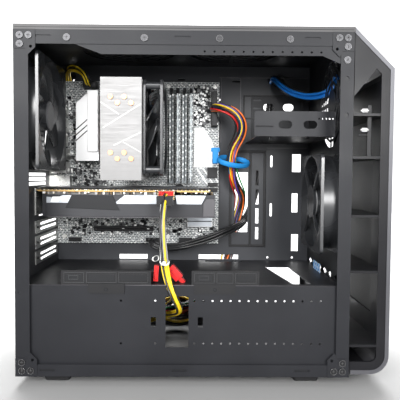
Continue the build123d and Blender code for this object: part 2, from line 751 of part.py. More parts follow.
# ---------------------------------------------------------------- CPU cooler
PIPE_RADIUS = 3.0
PIPE_OFFSETS = (-12.6, -4.2, 4.2, 12.6)
PIPE_SPREAD = 34.0
PIPE_LIFTS = (5.0, -2.5)    # every second pipe sits lower
CPU_X = (COOLER_X0 + COOLER_X1) / 2
CPU_Z = CPU_FAN_Z - 3.0
FIN_COUNT = 26
FIN_THICK = 0.8


def heat_pipe_paths():
    """Routes of the U-shaped heat pipes: up one side of the base, along, and up the other."""
    base_y = BOARD_FACE - 15.0
    paths = []
    for index, offset in enumerate(PIPE_OFFSETS):
        middle = CPU_Z + PIPE_LIFTS[index % 2]
        x = CPU_X + offset
        near = COOLER_NEAR - 2.0
        paths.append([
            (x, near, middle - PIPE_SPREAD),
            (x, base_y, middle - PIPE_SPREAD),
            (x, base_y, middle + PIPE_SPREAD),
            (x, near, middle + PIPE_SPREAD),
        ])
    return paths


def heat_pipe(points, radius):
    """One bent pipe with round corners."""
    path = FilletPolyline(*points, radius=9.0)
    return sweep(Plane(origin=points[0], z_dir=path % 0) * Circle(radius), path=path)


def cooler_base():
    """The copper and aluminium base on the processor, with its heat pipes."""
    base_y = BOARD_FACE - 15.0
    plate = block(CPU_X - 24, CPU_X + 24, base_y - 6, base_y + 7, CPU_Z - 20, CPU_Z + 20)
    return join([plate] + [heat_pipe(points, PIPE_RADIUS) for points in heat_pipe_paths()])


def cooler_fins():
    """The stack of fins, held apart by folded edges, under a thicker top plate."""
    clearance = 0.12
    far = BOARD_FACE - 44.0
    pitch = (far - COOLER_NEAR - 2) / (FIN_COUNT - 1)
    pieces = [block(COOLER_X0, COOLER_X1, COOLER_NEAR, COOLER_NEAR + 1.2, COOLER_Z0, COOLER_Z1)]
    for index in range(1, FIN_COUNT):
        y = COOLER_NEAR + pitch * index
        pieces.append(block(COOLER_X0, COOLER_X1, y, y + FIN_THICK, COOLER_Z0 + 1, COOLER_Z1 - 1))
    for x in (COOLER_X0 + 1, COOLER_X1 - 1.6):
        for z in (COOLER_Z0 + 12, COOLER_Z1 - 12.6):
            pieces.append(block(x, x + 0.6, COOLER_NEAR, far, z, z + 0.6))
    stack = join(pieces)
    tools = []
    for points in heat_pipe_paths():
        for x, y, z in (points[0], points[3]):
            tools.append(rod((x, y - 3, z), (0, 1, 0), PIPE_RADIUS + clearance, far - y + 10))
    return cut(stack, tools)


def cpu():
    """The processor in its socket: a frame on the board and the metal lid."""
    face = BOARD_FACE
    frame = block(CPU_X - 32, CPU_X + 32, face - 4, face, CPU_Z - 36, CPU_Z + 36)
    lid = block(CPU_X - 19, CPU_X + 19, face - 8, face - 4, CPU_Z - 19, CPU_Z + 19)
    return join([frame, lid])


# ---------------------------------------------------------------- motherboard
DIMM_X = (-42.0, -32.5, -22.5, -13.0)
DIMM_Z0 = 238.0
DIMM_Z1 = 379.0
DIMM_TALL = 10.0
MODULE_LENGTH = 133.35
MODULE_NEAR = NEAR + 166.0


def standoff_points():
    """X and Z of the board's mounting holes."""
    return [
        (BOARD_X0 + 10.2, BOARD_TOP - 6.4),
        (BOARD_X0 + 167.6, BOARD_TOP - 6.4),
        (BOARD_X1 - 6.4, BOARD_TOP - 6.4),
        (BOARD_X0 + 10.2, BOARD_LOW + 80.0),
        (BOARD_X0 + 167.6, BOARD_LOW + 80.0),
        (BOARD_X0 + 10.2, BOARD_LOW + 10.2),
        (BOARD_X0 + 167.6, BOARD_LOW + 10.2),
    ]


def motherboard():
    """The bare board."""
    plate = block(BOARD_X0, BOARD_X1, BOARD_FACE, BOARD_FACE + BOARD_THICK, BOARD_LOW, BOARD_TOP)
    holes = [rod((x, BOARD_FACE - 2, z), (0, 1, 0), 1.9, 6) for x, z in standoff_points()]
    return cut(plate, holes)


def board_standoffs():
    """Hexagonal standoffs with their screws, from the tray to the board's face."""
    made = []
    for x, z in standoff_points():
        plane = Plane(origin=(x, TRAY_FACE, z), x_dir=(1, 0, 0), z_dir=(0, -1, 0))
        hexagon = extrude(plane * RegularPolygon(3.0, 6), amount=STANDOFF)
        stem = rod((x, TRAY_FACE, z), (0, 1, 0), SCREW_RADIUS, 3)
        shank = rod((x, BOARD_FACE, z), (0, 1, 0), SCREW_RADIUS, BOARD_THICK)
        head = rod((x, BOARD_FACE - 1.8, z), (0, 1, 0), 3.2, 1.8)
        made.append(join([hexagon, stem, shank, head]))
    return made


def dimm_slots():
    """Four memory slots: a long body with a groove, and a cheek at the top for the latch."""
    made = []
    y0 = BOARD_FACE - DIMM_TALL
    for x in DIMM_X:
        body = block(x - 3.2, x + 3.2, y0, BOARD_FACE, DIMM_Z0, DIMM_Z1 - 10)
        foot = block(x - 3.2, x + 3.2, BOARD_FACE - 3, BOARD_FACE, DIMM_Z1 - 10, DIMM_Z1)
        tower = block(x - 3.2, x + 3.2, y0 - 5, BOARD_FACE, DIMM_Z0, DIMM_Z0 + 4.5)
        groove = block(x - 0.85, x + 0.85, y0 - 6, BOARD_FACE - 4, DIMM_Z0 + 2.4, DIMM_Z1 - 9)
        made.append(cut(join([body, foot, tower]), [groove]))
    return made


def memory_modules():
    """Two memory modules, standing in the second and fourth slots."""
    made = []
    z0 = DIMM_Z0 + 3.0
    for x in (DIMM_X[1], DIMM_X[3]):
        card = block(x - 0.7, x + 0.7, MODULE_NEAR, BOARD_FACE - 4.2, z0, z0 + MODULE_LENGTH - 6)
        chips = []
        for index in range(8):
            z = z0 + 6 + 15.2 * index
            chips.append(block(x - 1.9, x + 1.9, MODULE_NEAR + 6, MODULE_NEAR + 17, z, z + 9))
        made.append(join([card] + chips))
    return made


def dimm_latch(x):
    """A memory latch: a small lever on the top end of one slot."""
    z0 = DIMM_Z1 - 9.6
    y1 = BOARD_FACE - 3.4
    lever = [(y1, z0 + 1.0), (y1, z0 + 5.0), (y1 - 2, z0 + 7.0), (y1 - 12, z0 + 9.4), (y1 - 14, z0 + 7.5),
             (y1 - 12, z0 + 3.5)]
    return rear_prism(lever, x - 2.4, x + 2.4)


PCIE_X0 = BOARD_X0 + 57.0
PCIE_LENGTH = 89.0
PCIE_Z = 229.9
SLOT_TALL = 11.0


def pcie_slots():
    """One long expansion slot for the graphics card and two short ones below it."""
    made = []
    for drop, length in ((0, PCIE_LENGTH), (2, 25.0), (3, PCIE_LENGTH)):
        z = PCIE_Z - SLOT_PITCH * drop
        body = block(PCIE_X0, PCIE_X0 + length, BOARD_FACE - SLOT_TALL, BOARD_FACE, z - 3.6, z + 3.6)
        groove = block(PCIE_X0 + 1.5, PCIE_X0 + length - 1.5, BOARD_FACE - SLOT_TALL - 1, BOARD_FACE - 3,
                       z - 0.95, z + 0.95)
        made.append(cut(body, [groove]))
    return made


def pcie_latch():
    """The lever that locks the graphics card into its slot."""
    x0 = PCIE_X0 + PCIE_LENGTH + 0.5
    y = BOARD_FACE
    outline = [(x0 + 1.5, y - 1.0), (x0, y - 4.0), (x0, y - 9.0), (x0 + 4, y - 11.0), (x0 + 11, y - 10.5),
               (x0 + 6, y - 7.0), (x0 + 5, y - 1.0)]
    return flat_prism(outline, PCIE_Z - 3.4, PCIE_Z + 3.4)


def board_heatsinks():
    """Finned blocks beside the processor, and the flat one over the chipset."""
    y1 = BOARD_FACE - 2.0
    side = block(-180, -147, BOARD_FACE - 31, y1, 270, 366)
    side = cut(side, [
        side_prism([(-182, 368), (-182, 352), (-166, 368)], BOARD_FACE - 40, BOARD_FACE - 12),
        *[block(-181, -146, BOARD_FACE - 32, BOARD_FACE - 18, z, z + 1.6) for z in (290, 306, 322, 338)],
    ])
    upper = block(-143, -128, BOARD_FACE - 26, y1, 371.5, 375.5)
    chipset = block(-18, 20, BOARD_FACE - 10, y1, 172, 222)
    chipset = cut(chipset, [
        block(-19, 21, BOARD_FACE - 11, BOARD_FACE - 8.6, z, z + 1.4) for z in (180, 190, 200, 210)
    ])
    drive = block(-126, -44, BOARD_FACE - 5, y1, 202, 216)
    return [side, upper, chipset, drive]


PORT_BLOCKS = [
    (233.0, 248.0, 26.0, 16.0),
    (252.0, 268.0, 24.0, 30.0),
    (272.0, 288.0, 24.0, 30.0),
    (293.0, 308.0, 21.0, 12.0),
    (313.0, 331.0, 22.0, 20.0),
    (337.0, 352.0, 21.0, 30.0),
    (358.0, 372.0, 18.0, 13.0),
]


def io_ports():
    """The metal port housings at the board's rear edge, each open to the rear."""
    x0 = REAR - 2.0
    made = []
    for z0, z1, deep, tall in PORT_BLOCKS:
        shell = block(x0, x0 + deep, BOARD_FACE - tall, BOARD_FACE, z0, z1)
        mouth = block(x0 - 1, x0 + 9, BOARD_FACE - tall + 1.5, BOARD_FACE - 1.5, z0 + 1.5, z1 - 1.5)
        made.append(cut(shell, [mouth]))
    return made


def io_shield():
    """The thin plate that closes the rear wall's port opening round the ports."""
    gap = 0.4
    plate = block(REAR, REAR + 0.8, IO_Y0 + 0.2, IO_Y1 - 0.2, IO_Z0 + 0.2, IO_Z1 - 0.2)
    tools = []
    for z0, z1, _, tall in PORT_BLOCKS:
        tools.append(block(REAR - 2, REAR + 3, BOARD_FACE - tall - gap, BOARD_FACE + 1.2, z0 - gap, z1 + gap))
    for z in (362.0, 366.0):
        tools.append(block(REAR - 2, REAR + 3, 46, 64, z, z + 2))
    return cut(plate, tools)


ATX_SOCKET = (17.0, 26.0, 322.0, 374.0)
EPS_SOCKET = (-172.0, -152.0, 377.5, 387.5)


def board_sockets():
    """Power sockets, data sockets, pin headers and the clock battery's holder."""
    face = BOARD_FACE
    made = [
        block(ATX_SOCKET[0], ATX_SOCKET[1], face - 13, face, ATX_SOCKET[2], ATX_SOCKET[3]),
        block(EPS_SOCKET[0], EPS_SOCKET[1], face - 12, face, EPS_SOCKET[2], EPS_SOCKET[3]),
        block(12, 27, face - 9, face, 246, 262),
        block(-80, -60, face - 8, face, 149, 155),
        block(-30, -10, face - 8, face, 149, 155),
        block(-196, -178, face - 9, face, 149, 155),
    ]
    for z in (228.0, 236.0):
        made.append(block(13, 28, face - 8, face, z - 3, z + 3))
    made.append(rod((-30, face - 4, 230), (0, 1, 0), 7.0, 4.0))
    return made


# ---------------------------------------------------------------- graphics card
CARD_X1 = REAR + 236.0
CARD_NEAR = NEAR + 76.0
CARD_Z = PCIE_Z
CARD_LOW = 195.0
GPU_FAN_X = (-146.0, -56.0)
GPU_FAN_Y = 14.0
GPU_FAN_RADIUS = 43.0


def thumbscrew_holes():
    """Cutters for the slot thumbscrews, through a bracket or a cover."""
    return [rod((REAR - 2, SLOT_SCREW_Y, z), (1, 0, 0), SCREW_RADIUS + SCREW_GAP, 8) for z in slot_heights()]


def gpu_bracket():
    """The two-slot steel bracket: vent slots, and an end that two thumbscrews hold."""
    x0 = REAR + SHEET
    plate = block(x0, x0 + 1.2, SLOT_END_Y, SLOT_Y1 + 2, CARD_LOW + 1, CARD_Z + 1.5)
    slots = [stadium((x0, 30, z), (1, 0, 0), (0, 1, 0), 60, 4, 4) for z in (204.5, 212.5)]
    return cut(plate, slots + thumbscrew_holes())


def gpu_board():
    """The card's circuit board with its edge contacts in the slot."""
    x0 = REAR + 3.5
    plate = block(x0, CARD_X1 - 6, CARD_NEAR + 2, BOARD_FACE - SLOT_TALL - 1.5, CARD_Z - 0.8, CARD_Z + 0.8)
    contacts = block(PCIE_X0 + 2.2, PCIE_X0 + PCIE_LENGTH - 2.2, BOARD_FACE - SLOT_TALL - 2, BOARD_FACE - 3.5,
                     CARD_Z - 0.8, CARD_Z + 0.8)
    socket = block(-55, -33, CARD_NEAR - 3, CARD_NEAR + 9, CARD_Z - 12.5, CARD_Z - 0.8)
    return join([plate, contacts, socket])


def gpu_backplate():
    """The flat cover over the card's upper side."""
    plate = block(REAR + 4, CARD_X1 - 8, CARD_NEAR + 2, 64, CARD_Z + 2.2, CARD_Z + 3.4)
    posts = []
    for x in (-190, -110, -30, 0):
        for y in (-26, 52):
            posts.append(rod((x, y, CARD_Z + 0.8), (0, 0, 1), 2.5, 1.4))
    slots = [stadium((x, 20, CARD_Z + 3), (0, 0, 1), (0, 1, 0), 40, 4, 4) for x in (-20, -12, -4)]
    return cut(join([plate] + posts), slots)


def gpu_heatsink():
    """A finned block under the board."""
    x0 = REAR + 16
    base = block(x0, -60, CARD_NEAR + 8, 60, CARD_Z - 7, CARD_Z - 0.8)
    fins = [block(x, x + 1.2, CARD_NEAR + 6, 62, CARD_LOW + 13, CARD_Z - 6) for x in range(-198, -62, 8)]
    return join([base] + fins)


def gpu_shroud():
    """The card's plastic cover: side walls and a lower face with two fan openings."""
    x0 = REAR + 12
    x1 = CARD_X1
    outer = block(x0, x1, CARD_NEAR, 68, CARD_LOW, CARD_Z - 6)
    inner = block(x0 + 2.5, x1 - 2.5, CARD_NEAR + 2.5, 65.5, CARD_LOW + 2.5, CARD_Z)
    tools = [inner, block(-57, -31, CARD_NEAR - 5, CARD_NEAR + 12, CARD_Z - 14, CARD_Z)]
    for x in GPU_FAN_X:
        tools.append(rod((x, GPU_FAN_Y, CARD_LOW - 1), (0, 0, 1), GPU_FAN_RADIUS + 1.5, 6))
    shell = cut(outer, tools)
    stators = []
    for x in GPU_FAN_X:
        stators.append(rod((x, GPU_FAN_Y, CARD_LOW + 10.2), (0, 0, 1), 14, 1.8))
        stators.append(rod((x, GPU_FAN_Y, CARD_LOW + 3.8), (0, 0, 1), SHAFT_RADIUS, 7))
        stators.append(block(x - 2, x + 2, CARD_NEAR + 2, GPU_FAN_Y, CARD_LOW + 10.2, CARD_LOW + 12))
        stators.append(block(x - 2, x + 2, GPU_FAN_Y, 66, CARD_LOW + 10.2, CARD_LOW + 12))
    return join([shell] + stators)


def gpu_fan(x):
    """A thin card fan, hung under its shaft."""
    rotor = fan_rotor(GPU_FAN_RADIUS, 14.0, 9.0, 9, 28.0)
    return Plane(origin=(x, GPU_FAN_Y, CARD_LOW + 9.8), x_dir=(1, 0, 0), z_dir=(0, 0, -1)) * rotor


# ---------------------------------------------------------------- power supply
PSU_FAN_X = REAR + 71.0
PSU_FAN_Y = 5.0
INLET_Y = 50.0
INLET_Z = 40.0
SWITCH_Y = 50.0
SWITCH_Z = 68.0


def psu_case():
    """The power supply's steel box: fan opening below, vents and inlet holes at the rear."""
    x0 = REAR + SHEET
    outer = block(x0, PSU_X1, PSU_Y0, PSU_Y1, PSU_Z0, PSU_Z1)
    inner = block(x0 + 1, PSU_X1 - 1, PSU_Y0 + 1, PSU_Y1 - 1, PSU_Z0 + 1, PSU_Z1 - 1)
    tools = [
        inner,
        block(x0 - 1, x0 + 3, INLET_Y - 12.2, INLET_Y + 12.2, INLET_Z - 10.2, INLET_Z + 10.2),
        block(x0 - 1, x0 + 3, SWITCH_Y - 10.4, SWITCH_Y + 10.4, SWITCH_Z - 6.4, SWITCH_Z + 6.4),
        block(PSU_X1 - 3, PSU_X1 + 2, 0, 34, 40, 66),
    ]
    tools.extend(ring_slots((PSU_FAN_X, PSU_FAN_Y, PSU_Z0), (0, 0, 1), (1, 0, 0), (26, 38, 50), 9, 3))
    for y in range(-56, 30, 9):
        for z in range(28, 88, 9):
            tools.append(rod((x0 - 1, y, z), (1, 0, 0), 3.2, 3))
    tools.extend(rod((x0 - 1, y, z), (1, 0, 0), SCREW_RADIUS + SCREW_GAP, 3) for y, z in psu_screw_points())
    shell = cut(outer, tools)
    hub = rod((PSU_FAN_X, PSU_FAN_Y, PSU_Z0 + 1), (0, 0, 1), SHAFT_RADIUS, 13)
    return join([shell, hub])


def psu_fan():
    """The power supply's fan, turning on a shaft that stands on the case's floor."""
    rotor = fan_rotor(58.0, 19.0, 17.0, 9)
    return Plane(origin=(PSU_FAN_X, PSU_FAN_Y, PSU_Z0 + 1.6), x_dir=(1, 0, 0), z_dir=(0, 0, 1)) * rotor


def psu_inlet():
    """The mains inlet: a walled socket with three blades."""
    x0 = REAR - 2.5
    body = block(x0, REAR + 20, INLET_Y - 12, INLET_Y + 12, INLET_Z - 10, INLET_Z + 10)
    well = block(x0 - 1, REAR + 15, INLET_Y - 10, INLET_Y + 10, INLET_Z - 8, INLET_Z + 8)
    pins = [
        block(REAR + 2, REAR + 16, INLET_Y + y - 2, INLET_Y + y + 2, INLET_Z + z - 1, INLET_Z + z + 1)
        for y, z in ((-5, -3), (0, 3), (5, -3))
    ]
    lip = block(x0, REAR - 1.0, INLET_Y - 14, INLET_Y + 14, INLET_Z - 11.5, INLET_Z + 11.5)
    return join([cut(join([body, lip]), [well])] + pins)


def psu_switch():
    """The rocker that switches the power supply."""
    x0 = REAR - 3.0
    outline = [(x0 - 0.6, SWITCH_Y - 8.6), (x0 + 1.2, SWITCH_Y), (x0 - 0.6, SWITCH_Y + 8.6),
               (x0 + 5.0, SWITCH_Y + 8.6), (x0 + 9.0, SWITCH_Y), (x0 + 5.0, SWITCH_Y - 8.6)]
    return flat_prism(outline, SWITCH_Z - 5.0, SWITCH_Z + 5.0)


# ---------------------------------------------------------------- slot covers and trays
def slot_covers():
    """The three vented covers in the free slots, each with a tab for its thumbscrew."""
    made = []
    for z in slot_heights()[2:]:
        x0 = REAR + SHEET
        plate = block(x0, x0 + 0.9, SLOT_END_Y, SLOT_Y1 + 2, z - 8.4, z + 8.4)
        vents = [stadium((x0, (SLOT_Y0 + SLOT_Y1) / 2, z + dz), (1, 0, 0), (0, 1, 0), 84, 3.4, 4)
                 for dz in (-3.4, 3.4)]
        made.append(cut(plate, vents + thumbscrew_holes()))
    return made


def thumbscrews():
    """The screws that hold the card's bracket and the slot covers, driven from behind."""
    made = []
    for z in slot_heights():
        head = rod((REAR - REAR_PROUD, SLOT_SCREW_Y, z), (1, 0, 0), 3.8, REAR_PROUD)
        stem = rod((REAR, SLOT_SCREW_Y, z), (1, 0, 0), SCREW_RADIUS, 4)
        made.append(join([head, stem]))
    return made


def rear_screws():
    """The power supply's four screws and the rear fan's four screws."""
    made = []
    for y, z in psu_screw_points():
        head = rod((REAR - 2, y, z), (1, 0, 0), 3.6, 2)
        made.append(join([head, rod((REAR, y, z), (1, 0, 0), SCREW_RADIUS, 5)]))
    half = 124.5 / 2
    for a in (-1, 1):
        for b in (-1, 1):
            y = REAR_FAN_Y + a * half
            z = REAR_FAN_Z + b * half
            head = rod((REAR - 2, y, z), (1, 0, 0), 3.8, 2)
            made.append(join([head, rod((REAR, y, z), (1, 0, 0), 2.0, 9)]))
    return made


TRAY_TALL = 17.5
TRAY_WALL = 4.0


def shroud_tray(x0, x1, tab0, tab1):
    """A plastic tray on the shroud's top edge: an upright face, and a tab over the shroud's face."""
    y0 = SHROUD_FACE + 0.2
    y1 = -28.0
    floor = SHROUD_TOP
    base = block(x0, x1, y0, y1, floor, floor + 5.0)
    face = block(x0, x1, y0, y0 + TRAY_WALL, floor, floor + TRAY_TALL)
    pocket = block(x0 + 2, x1 - 2, y0 + TRAY_WALL, y1 - 2, floor + 1.6, floor + 9)
    tab = block(tab0, tab1, SHROUD_FACE - 1.6, SHROUD_FACE, floor - 9.5, floor + 2.4)
    lip = block(tab0, tab1, SHROUD_FACE - 1.6, y0 + 0.2, floor, floor + 2.4)
    hole = rod(((tab0 + tab1) / 2, SHROUD_FACE - 4, floor - 4.6), (0, 1, 0), 1.7, 8)
    return cut(join([cut(base, [pocket]), face, tab, lip]), [hole])


# ---------------------------------------------------------------- cables
ATX_ROUTE = [
    (21.5, 57, 348), (21.5, 46, 348), (33, 36, 346), (50, 36, 339), (60, 42, 324), (58, 48, 307),
    (50, 52, 292), (47, 54, 276), (47, 56, 258), (51, 62, 242), (58, 74, 230), (64, 90, 222), (65, 104, 206),
    (60, 105, 184), (52, 104, 158), (46, 104.5, 130), (41, 101, 106), (34, 88, 86), (22, 71, 72),
    (4, 56, 63), (-17, 43, 58), (-38, 31, 55.5), (-56, 22.5, 54.5), (-69, 18.5, 54), (-80, 18, 54),
]
CPU_POWER_ROUTE = [
    (-162, 60, 382.5), (-162, 49.5, 382.5), (-163, 43, 388), (-168, 44, 396), (-179, 50, 403),
    (-190, 60, 405), (-197, 76, 402), (-199, 92, 398), (-200, 103, 386), (-199, 105, 368),
    (-194, 104, 340), (-182, 104.5, 296), (-160, 104, 246), (-128, 105, 198), (-92, 104, 160),
    (-60, 104.5, 128), (-38, 101, 104), (-27, 88, 86), (-29, 70, 72), (-41, 52, 62), (-57, 38, 54),
    (-69, 30.5, 48), (-80, 29, 46),
]
GPU_ROUTE = [
    (-44, -58, 223), (-44, -70, 223), (-45, -80, 212), (-46, -86, 196), (-45.5, -90, 176),
    (-44, -95, 157), (-42, -102, 140), (-38, -110, 124), (-32, -113.6, 109), (-25.5, -110.5, 96),
    (-23.5, -99, 87), (-30, -84, 80), (-42, -61, 73), (-53, -36, 64), (-61, -13, 56), (-69, 3, 49),
    (-80, 7, 46),
]
FRONT_ROUTE = [
    (-70, 69, 152), (-70, 57, 152), (-68, 46, 150), (-58, 44, 145.5), (-44, 52, 143), (-26, 60, 145),
    (-6, 62, 150), (16, 62, 157), (37, 66, 166), (54, 77, 172), (64, 91, 175), (72, 103, 182),
    (82, 105, 200), (90, 104, 232), (98, 105, 276), (105, 104, 322), (110, 105, 358), (112, 104, 382),
    (112, 92, 395), (113, 76, 394), (117, 59, 385), (125, 45, 374), (136, 32, 366), (148, 20, 361),
    (158, 8, 359.5), (166, -1, 360.5), (172.5, -6, 363), (177, -8, 370),
]


def front_route():
    """The front cable's route, ending square on the plug behind the port block."""
    last = PORT_MIDDLE - CHAMFER_NORMAL * (PORT_DEEP + PLUG_GAP + PLUG_LONG) + Vector(0, PLUG_Y, 0)
    before = last - CHAMFER_NORMAL * 6.0
    return FRONT_ROUTE + [tuple(before), tuple(last)]


def cable_plugs():
    """The plugs on the cables: board, processor, graphics card, header, ports, and two spare ones."""
    deep = PORT_DEEP + PLUG_GAP + PLUG_LONG / 2
    return [
        block(ATX_SOCKET[0] + 0.5, ATX_SOCKET[1] - 0.5, 57, 70, ATX_SOCKET[2] + 1, ATX_SOCKET[3] - 1),
        block(EPS_SOCKET[0] + 0.5, EPS_SOCKET[1] - 0.5, 60, 71, EPS_SOCKET[2] + 0.5, EPS_SOCKET[3] - 0.5),
        block(-54, -34, CARD_NEAR - 19, CARD_NEAR - 3, CARD_Z - 12, CARD_Z - 1.5),
        block(-75, -65, 69, 75, 149.5, 154.5),
        chamfer_plane(PLUG_Y, deep) * Box(14, 10, PLUG_LONG),
        Pos(-31, -88, 131) * (Rot(0, 38, 0) * Box(10, 9, 20)),
        Pos(-53, -90, 132) * (Rot(0, 4, 0) * Box(7, 9, 20)),
    ]


def main():
    """Build every node and write it to its own file."""
    os.makedirs("parts", exist_ok=True)
    holes = side_screw_holes()
    nodes = {
        "side_frames": group(both_sides(side_frame(holes))),
        "corner_brackets": group(both_sides(corner_brackets(holes))),
        "case_screws": group(both_sides(chassis_screws()) + thumbscrews() + rear_screws()),
        "rear_wall": rear_wall(holes),
        "top_panel": top_panel(holes),
        "bottom_pan": bottom_pan(holes),
        "front_wall": front_wall(holes),
        "motherboard_tray": motherboard_tray(),
        "psu_shroud": psu_shroud(),
        "drive_cage": drive_cage(),
        "feet": group(feet()),
        "top_cover": top_cover(),
        "top_filter": top_filter(),
        "front_trim": front_trim(),
        "front_fascia": front_fascia(),
        "front_panel_frame": front_panel_frame(),
        "front_ports": front_ports(),
        "power_button": button(POWER_Y, 8.0),
        "reset_button": button(RESET_Y, 3.5),
        "cooler_fins": cooler_fins(),
        "cooler_base": cooler_base(),
        "cpu": cpu(),
        "motherboard": motherboard(),
        "board_standoffs": group(board_standoffs()),
        "dimm_slots": group(dimm_slots()),
        "memory_modules": group(memory_modules()),
        "pcie_slots": group(pcie_slots()),
        "pcie_latch": pcie_latch(),
        "board_heatsinks": group(board_heatsinks()),
        "io_ports": group(io_ports()),
        "io_shield": io_shield(),
        "board_sockets": group(board_sockets()),
        "gpu_bracket": gpu_bracket(),
        "gpu_board": gpu_board(),
        "gpu_backplate": gpu_backplate(),
        "gpu_heatsink": gpu_heatsink(),
        "gpu_shroud": gpu_shroud(),
        "gpu_fan_rear": gpu_fan(GPU_FAN_X[0]),
        "gpu_fan_front": gpu_fan(GPU_FAN_X[1]),
        "psu_case": psu_case(),
        "psu_fan": psu_fan(),
        "psu_inlet": psu_inlet(),
        "psu_switch": psu_switch(),
        "slot_covers": group(slot_covers()),
        "shroud_trays": group([shroud_tray(-164.0, -58.0, -132.0, -89.0), shroud_tray(-10.0, 70.0, -7.0, 42.0)]),
        "cable_plugs": group(cable_plugs()),
        "atx_cable": cable("atx_cable", ATX_ROUTE, 6.0),
        "cpu_power_cable": cable("cpu_power_cable", CPU_POWER_ROUTE, 4.0),
        "gpu_power_cable": cable("gpu_power_cable", GPU_ROUTE, 4.0),
        "front_cable": cable("front_cable", front_route(), 3.5),
    }
    for number, x in enumerate(DIMM_X, start=1):
        nodes[f"dimm_latch_{number}"] = dimm_latch(x)
    nodes.update(case_fans())
    for name, shape in nodes.items():
        export_step(shape, f"parts/{name}.step")


main()
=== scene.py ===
import math
import random

import bmesh
import bpy
from mathutils import Matrix, Vector


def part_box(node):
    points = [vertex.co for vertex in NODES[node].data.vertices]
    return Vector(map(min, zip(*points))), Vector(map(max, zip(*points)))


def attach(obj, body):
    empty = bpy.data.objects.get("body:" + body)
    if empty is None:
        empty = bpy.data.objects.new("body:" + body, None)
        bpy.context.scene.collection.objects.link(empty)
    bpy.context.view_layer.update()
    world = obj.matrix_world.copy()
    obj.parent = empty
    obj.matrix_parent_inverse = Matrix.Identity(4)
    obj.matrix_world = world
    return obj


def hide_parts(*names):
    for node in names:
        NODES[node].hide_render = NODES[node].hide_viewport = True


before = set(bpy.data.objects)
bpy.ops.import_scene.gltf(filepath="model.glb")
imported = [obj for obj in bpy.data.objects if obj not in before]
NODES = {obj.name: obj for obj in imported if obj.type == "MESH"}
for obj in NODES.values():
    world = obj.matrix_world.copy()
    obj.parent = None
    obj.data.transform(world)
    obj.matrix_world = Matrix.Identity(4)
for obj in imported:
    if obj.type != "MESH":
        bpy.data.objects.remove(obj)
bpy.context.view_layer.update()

MM = 0.001


# ---------------------------------------------------------------- places taken from the frame
def low(node):
    """Lowest corner of a CAD node, in millimetres."""
    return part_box(node)[0] / MM


def high(node):
    """Highest corner of a CAD node, in millimetres."""
    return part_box(node)[1] / MM


REAR = low("side_frames").x
FRONT = high("side_frames").x
NEAR = low("side_frames").y
BASE = low("side_frames").z
ROOF = high("side_frames").z
BOARD_FACE = low("motherboard").y
TRAY_FACE = low("motherboard_tray").y
SHROUD_FACE = low("psu_shroud").y
SHROUD_TOP = high("psu_shroud").z
FIN_FACE = low("cooler_fins").y
CARD_FACE = low("gpu_shroud").y
CARD_RIGHT = high("gpu_shroud").x


# ---------------------------------------------------------------- mesh helpers, in millimetres
def finish_mesh(name, bm, body="case", materials=(), smooth=False):
    """A piece made from a bmesh in millimetres, with its materials, riding on a body."""
    bmesh.ops.scale(bm, vec=(MM, MM, MM), verts=bm.verts)
    bmesh.ops.recalc_face_normals(bm, faces=bm.faces)
    mesh = bpy.data.meshes.new(name)
    bm.to_mesh(mesh)
    bm.free()
    for face in mesh.polygons:
        face.use_smooth = smooth
    piece = bpy.data.objects.new(name, mesh)
    bpy.context.scene.collection.objects.link(piece)
    for material in materials:
        mesh.materials.append(material)
    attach(piece, body)
    return piece


def add_block(bm, lo, hi, turn=None, bevel=0.0, material=0):
    """A box between two corners, bevelled on every edge, turned about its middle by a matrix."""
    lo = Vector(lo)
    hi = Vector(hi)
    size = hi - lo
    made = bmesh.ops.create_cube(bm, size=1.0)["verts"]
    bmesh.ops.scale(bm, vec=size, verts=made)
    if turn is not None:
        bmesh.ops.transform(bm, matrix=turn, verts=made)
    bmesh.ops.translate(bm, vec=(lo + hi) / 2, verts=made)
    faces = {face for vert in made for face in vert.link_faces}
    for face in faces:
        face.material_index = material
    if bevel:
        edges = {edge for face in faces for edge in face.edges}
        bmesh.ops.bevel(bm, geom=list(edges), offset=bevel, segments=2, affect="EDGES", profile=0.6)
    return made


def axis_turn(axis):
    """A rotation that takes +Z to an axis."""
    return Vector(axis).to_track_quat("Z", "Y").to_matrix().to_4x4()


def add_rod(bm, start, axis, radius, length, sides=20, end_radius=None, material=0):
    """A round bar, or a cone, from a start point along an axis."""
    end_radius = radius if end_radius is None else end_radius
    made = bmesh.ops.create_cone(
        bm, cap_ends=True, segments=sides, radius1=radius, radius2=end_radius, depth=length
    )["verts"]
    middle = Vector(start) + Vector(axis).normalized() * length / 2
    bmesh.ops.transform(bm, matrix=Matrix.Translation(middle) @ axis_turn(axis), verts=made)
    for face in {face for vert in made for face in vert.link_faces}:
        face.material_index = material
    return made


def add_plate(bm, points, y, thick, material=0):
    """An outline in X and Z, y being its far side, made solid towards the viewer's side."""
    back = [bm.verts.new((x, y, z)) for x, z in points]
    front = [bm.verts.new((x, y - thick, z)) for x, z in points]
    faces = [bm.faces.new(back), bm.faces.new(list(reversed(front)))]
    for index in range(len(points)):
        after = (index + 1) % len(points)
        faces.append(bm.faces.new((back[index], front[index], front[after], back[after])))
    for face in faces:
        face.material_index = material
    return back + front


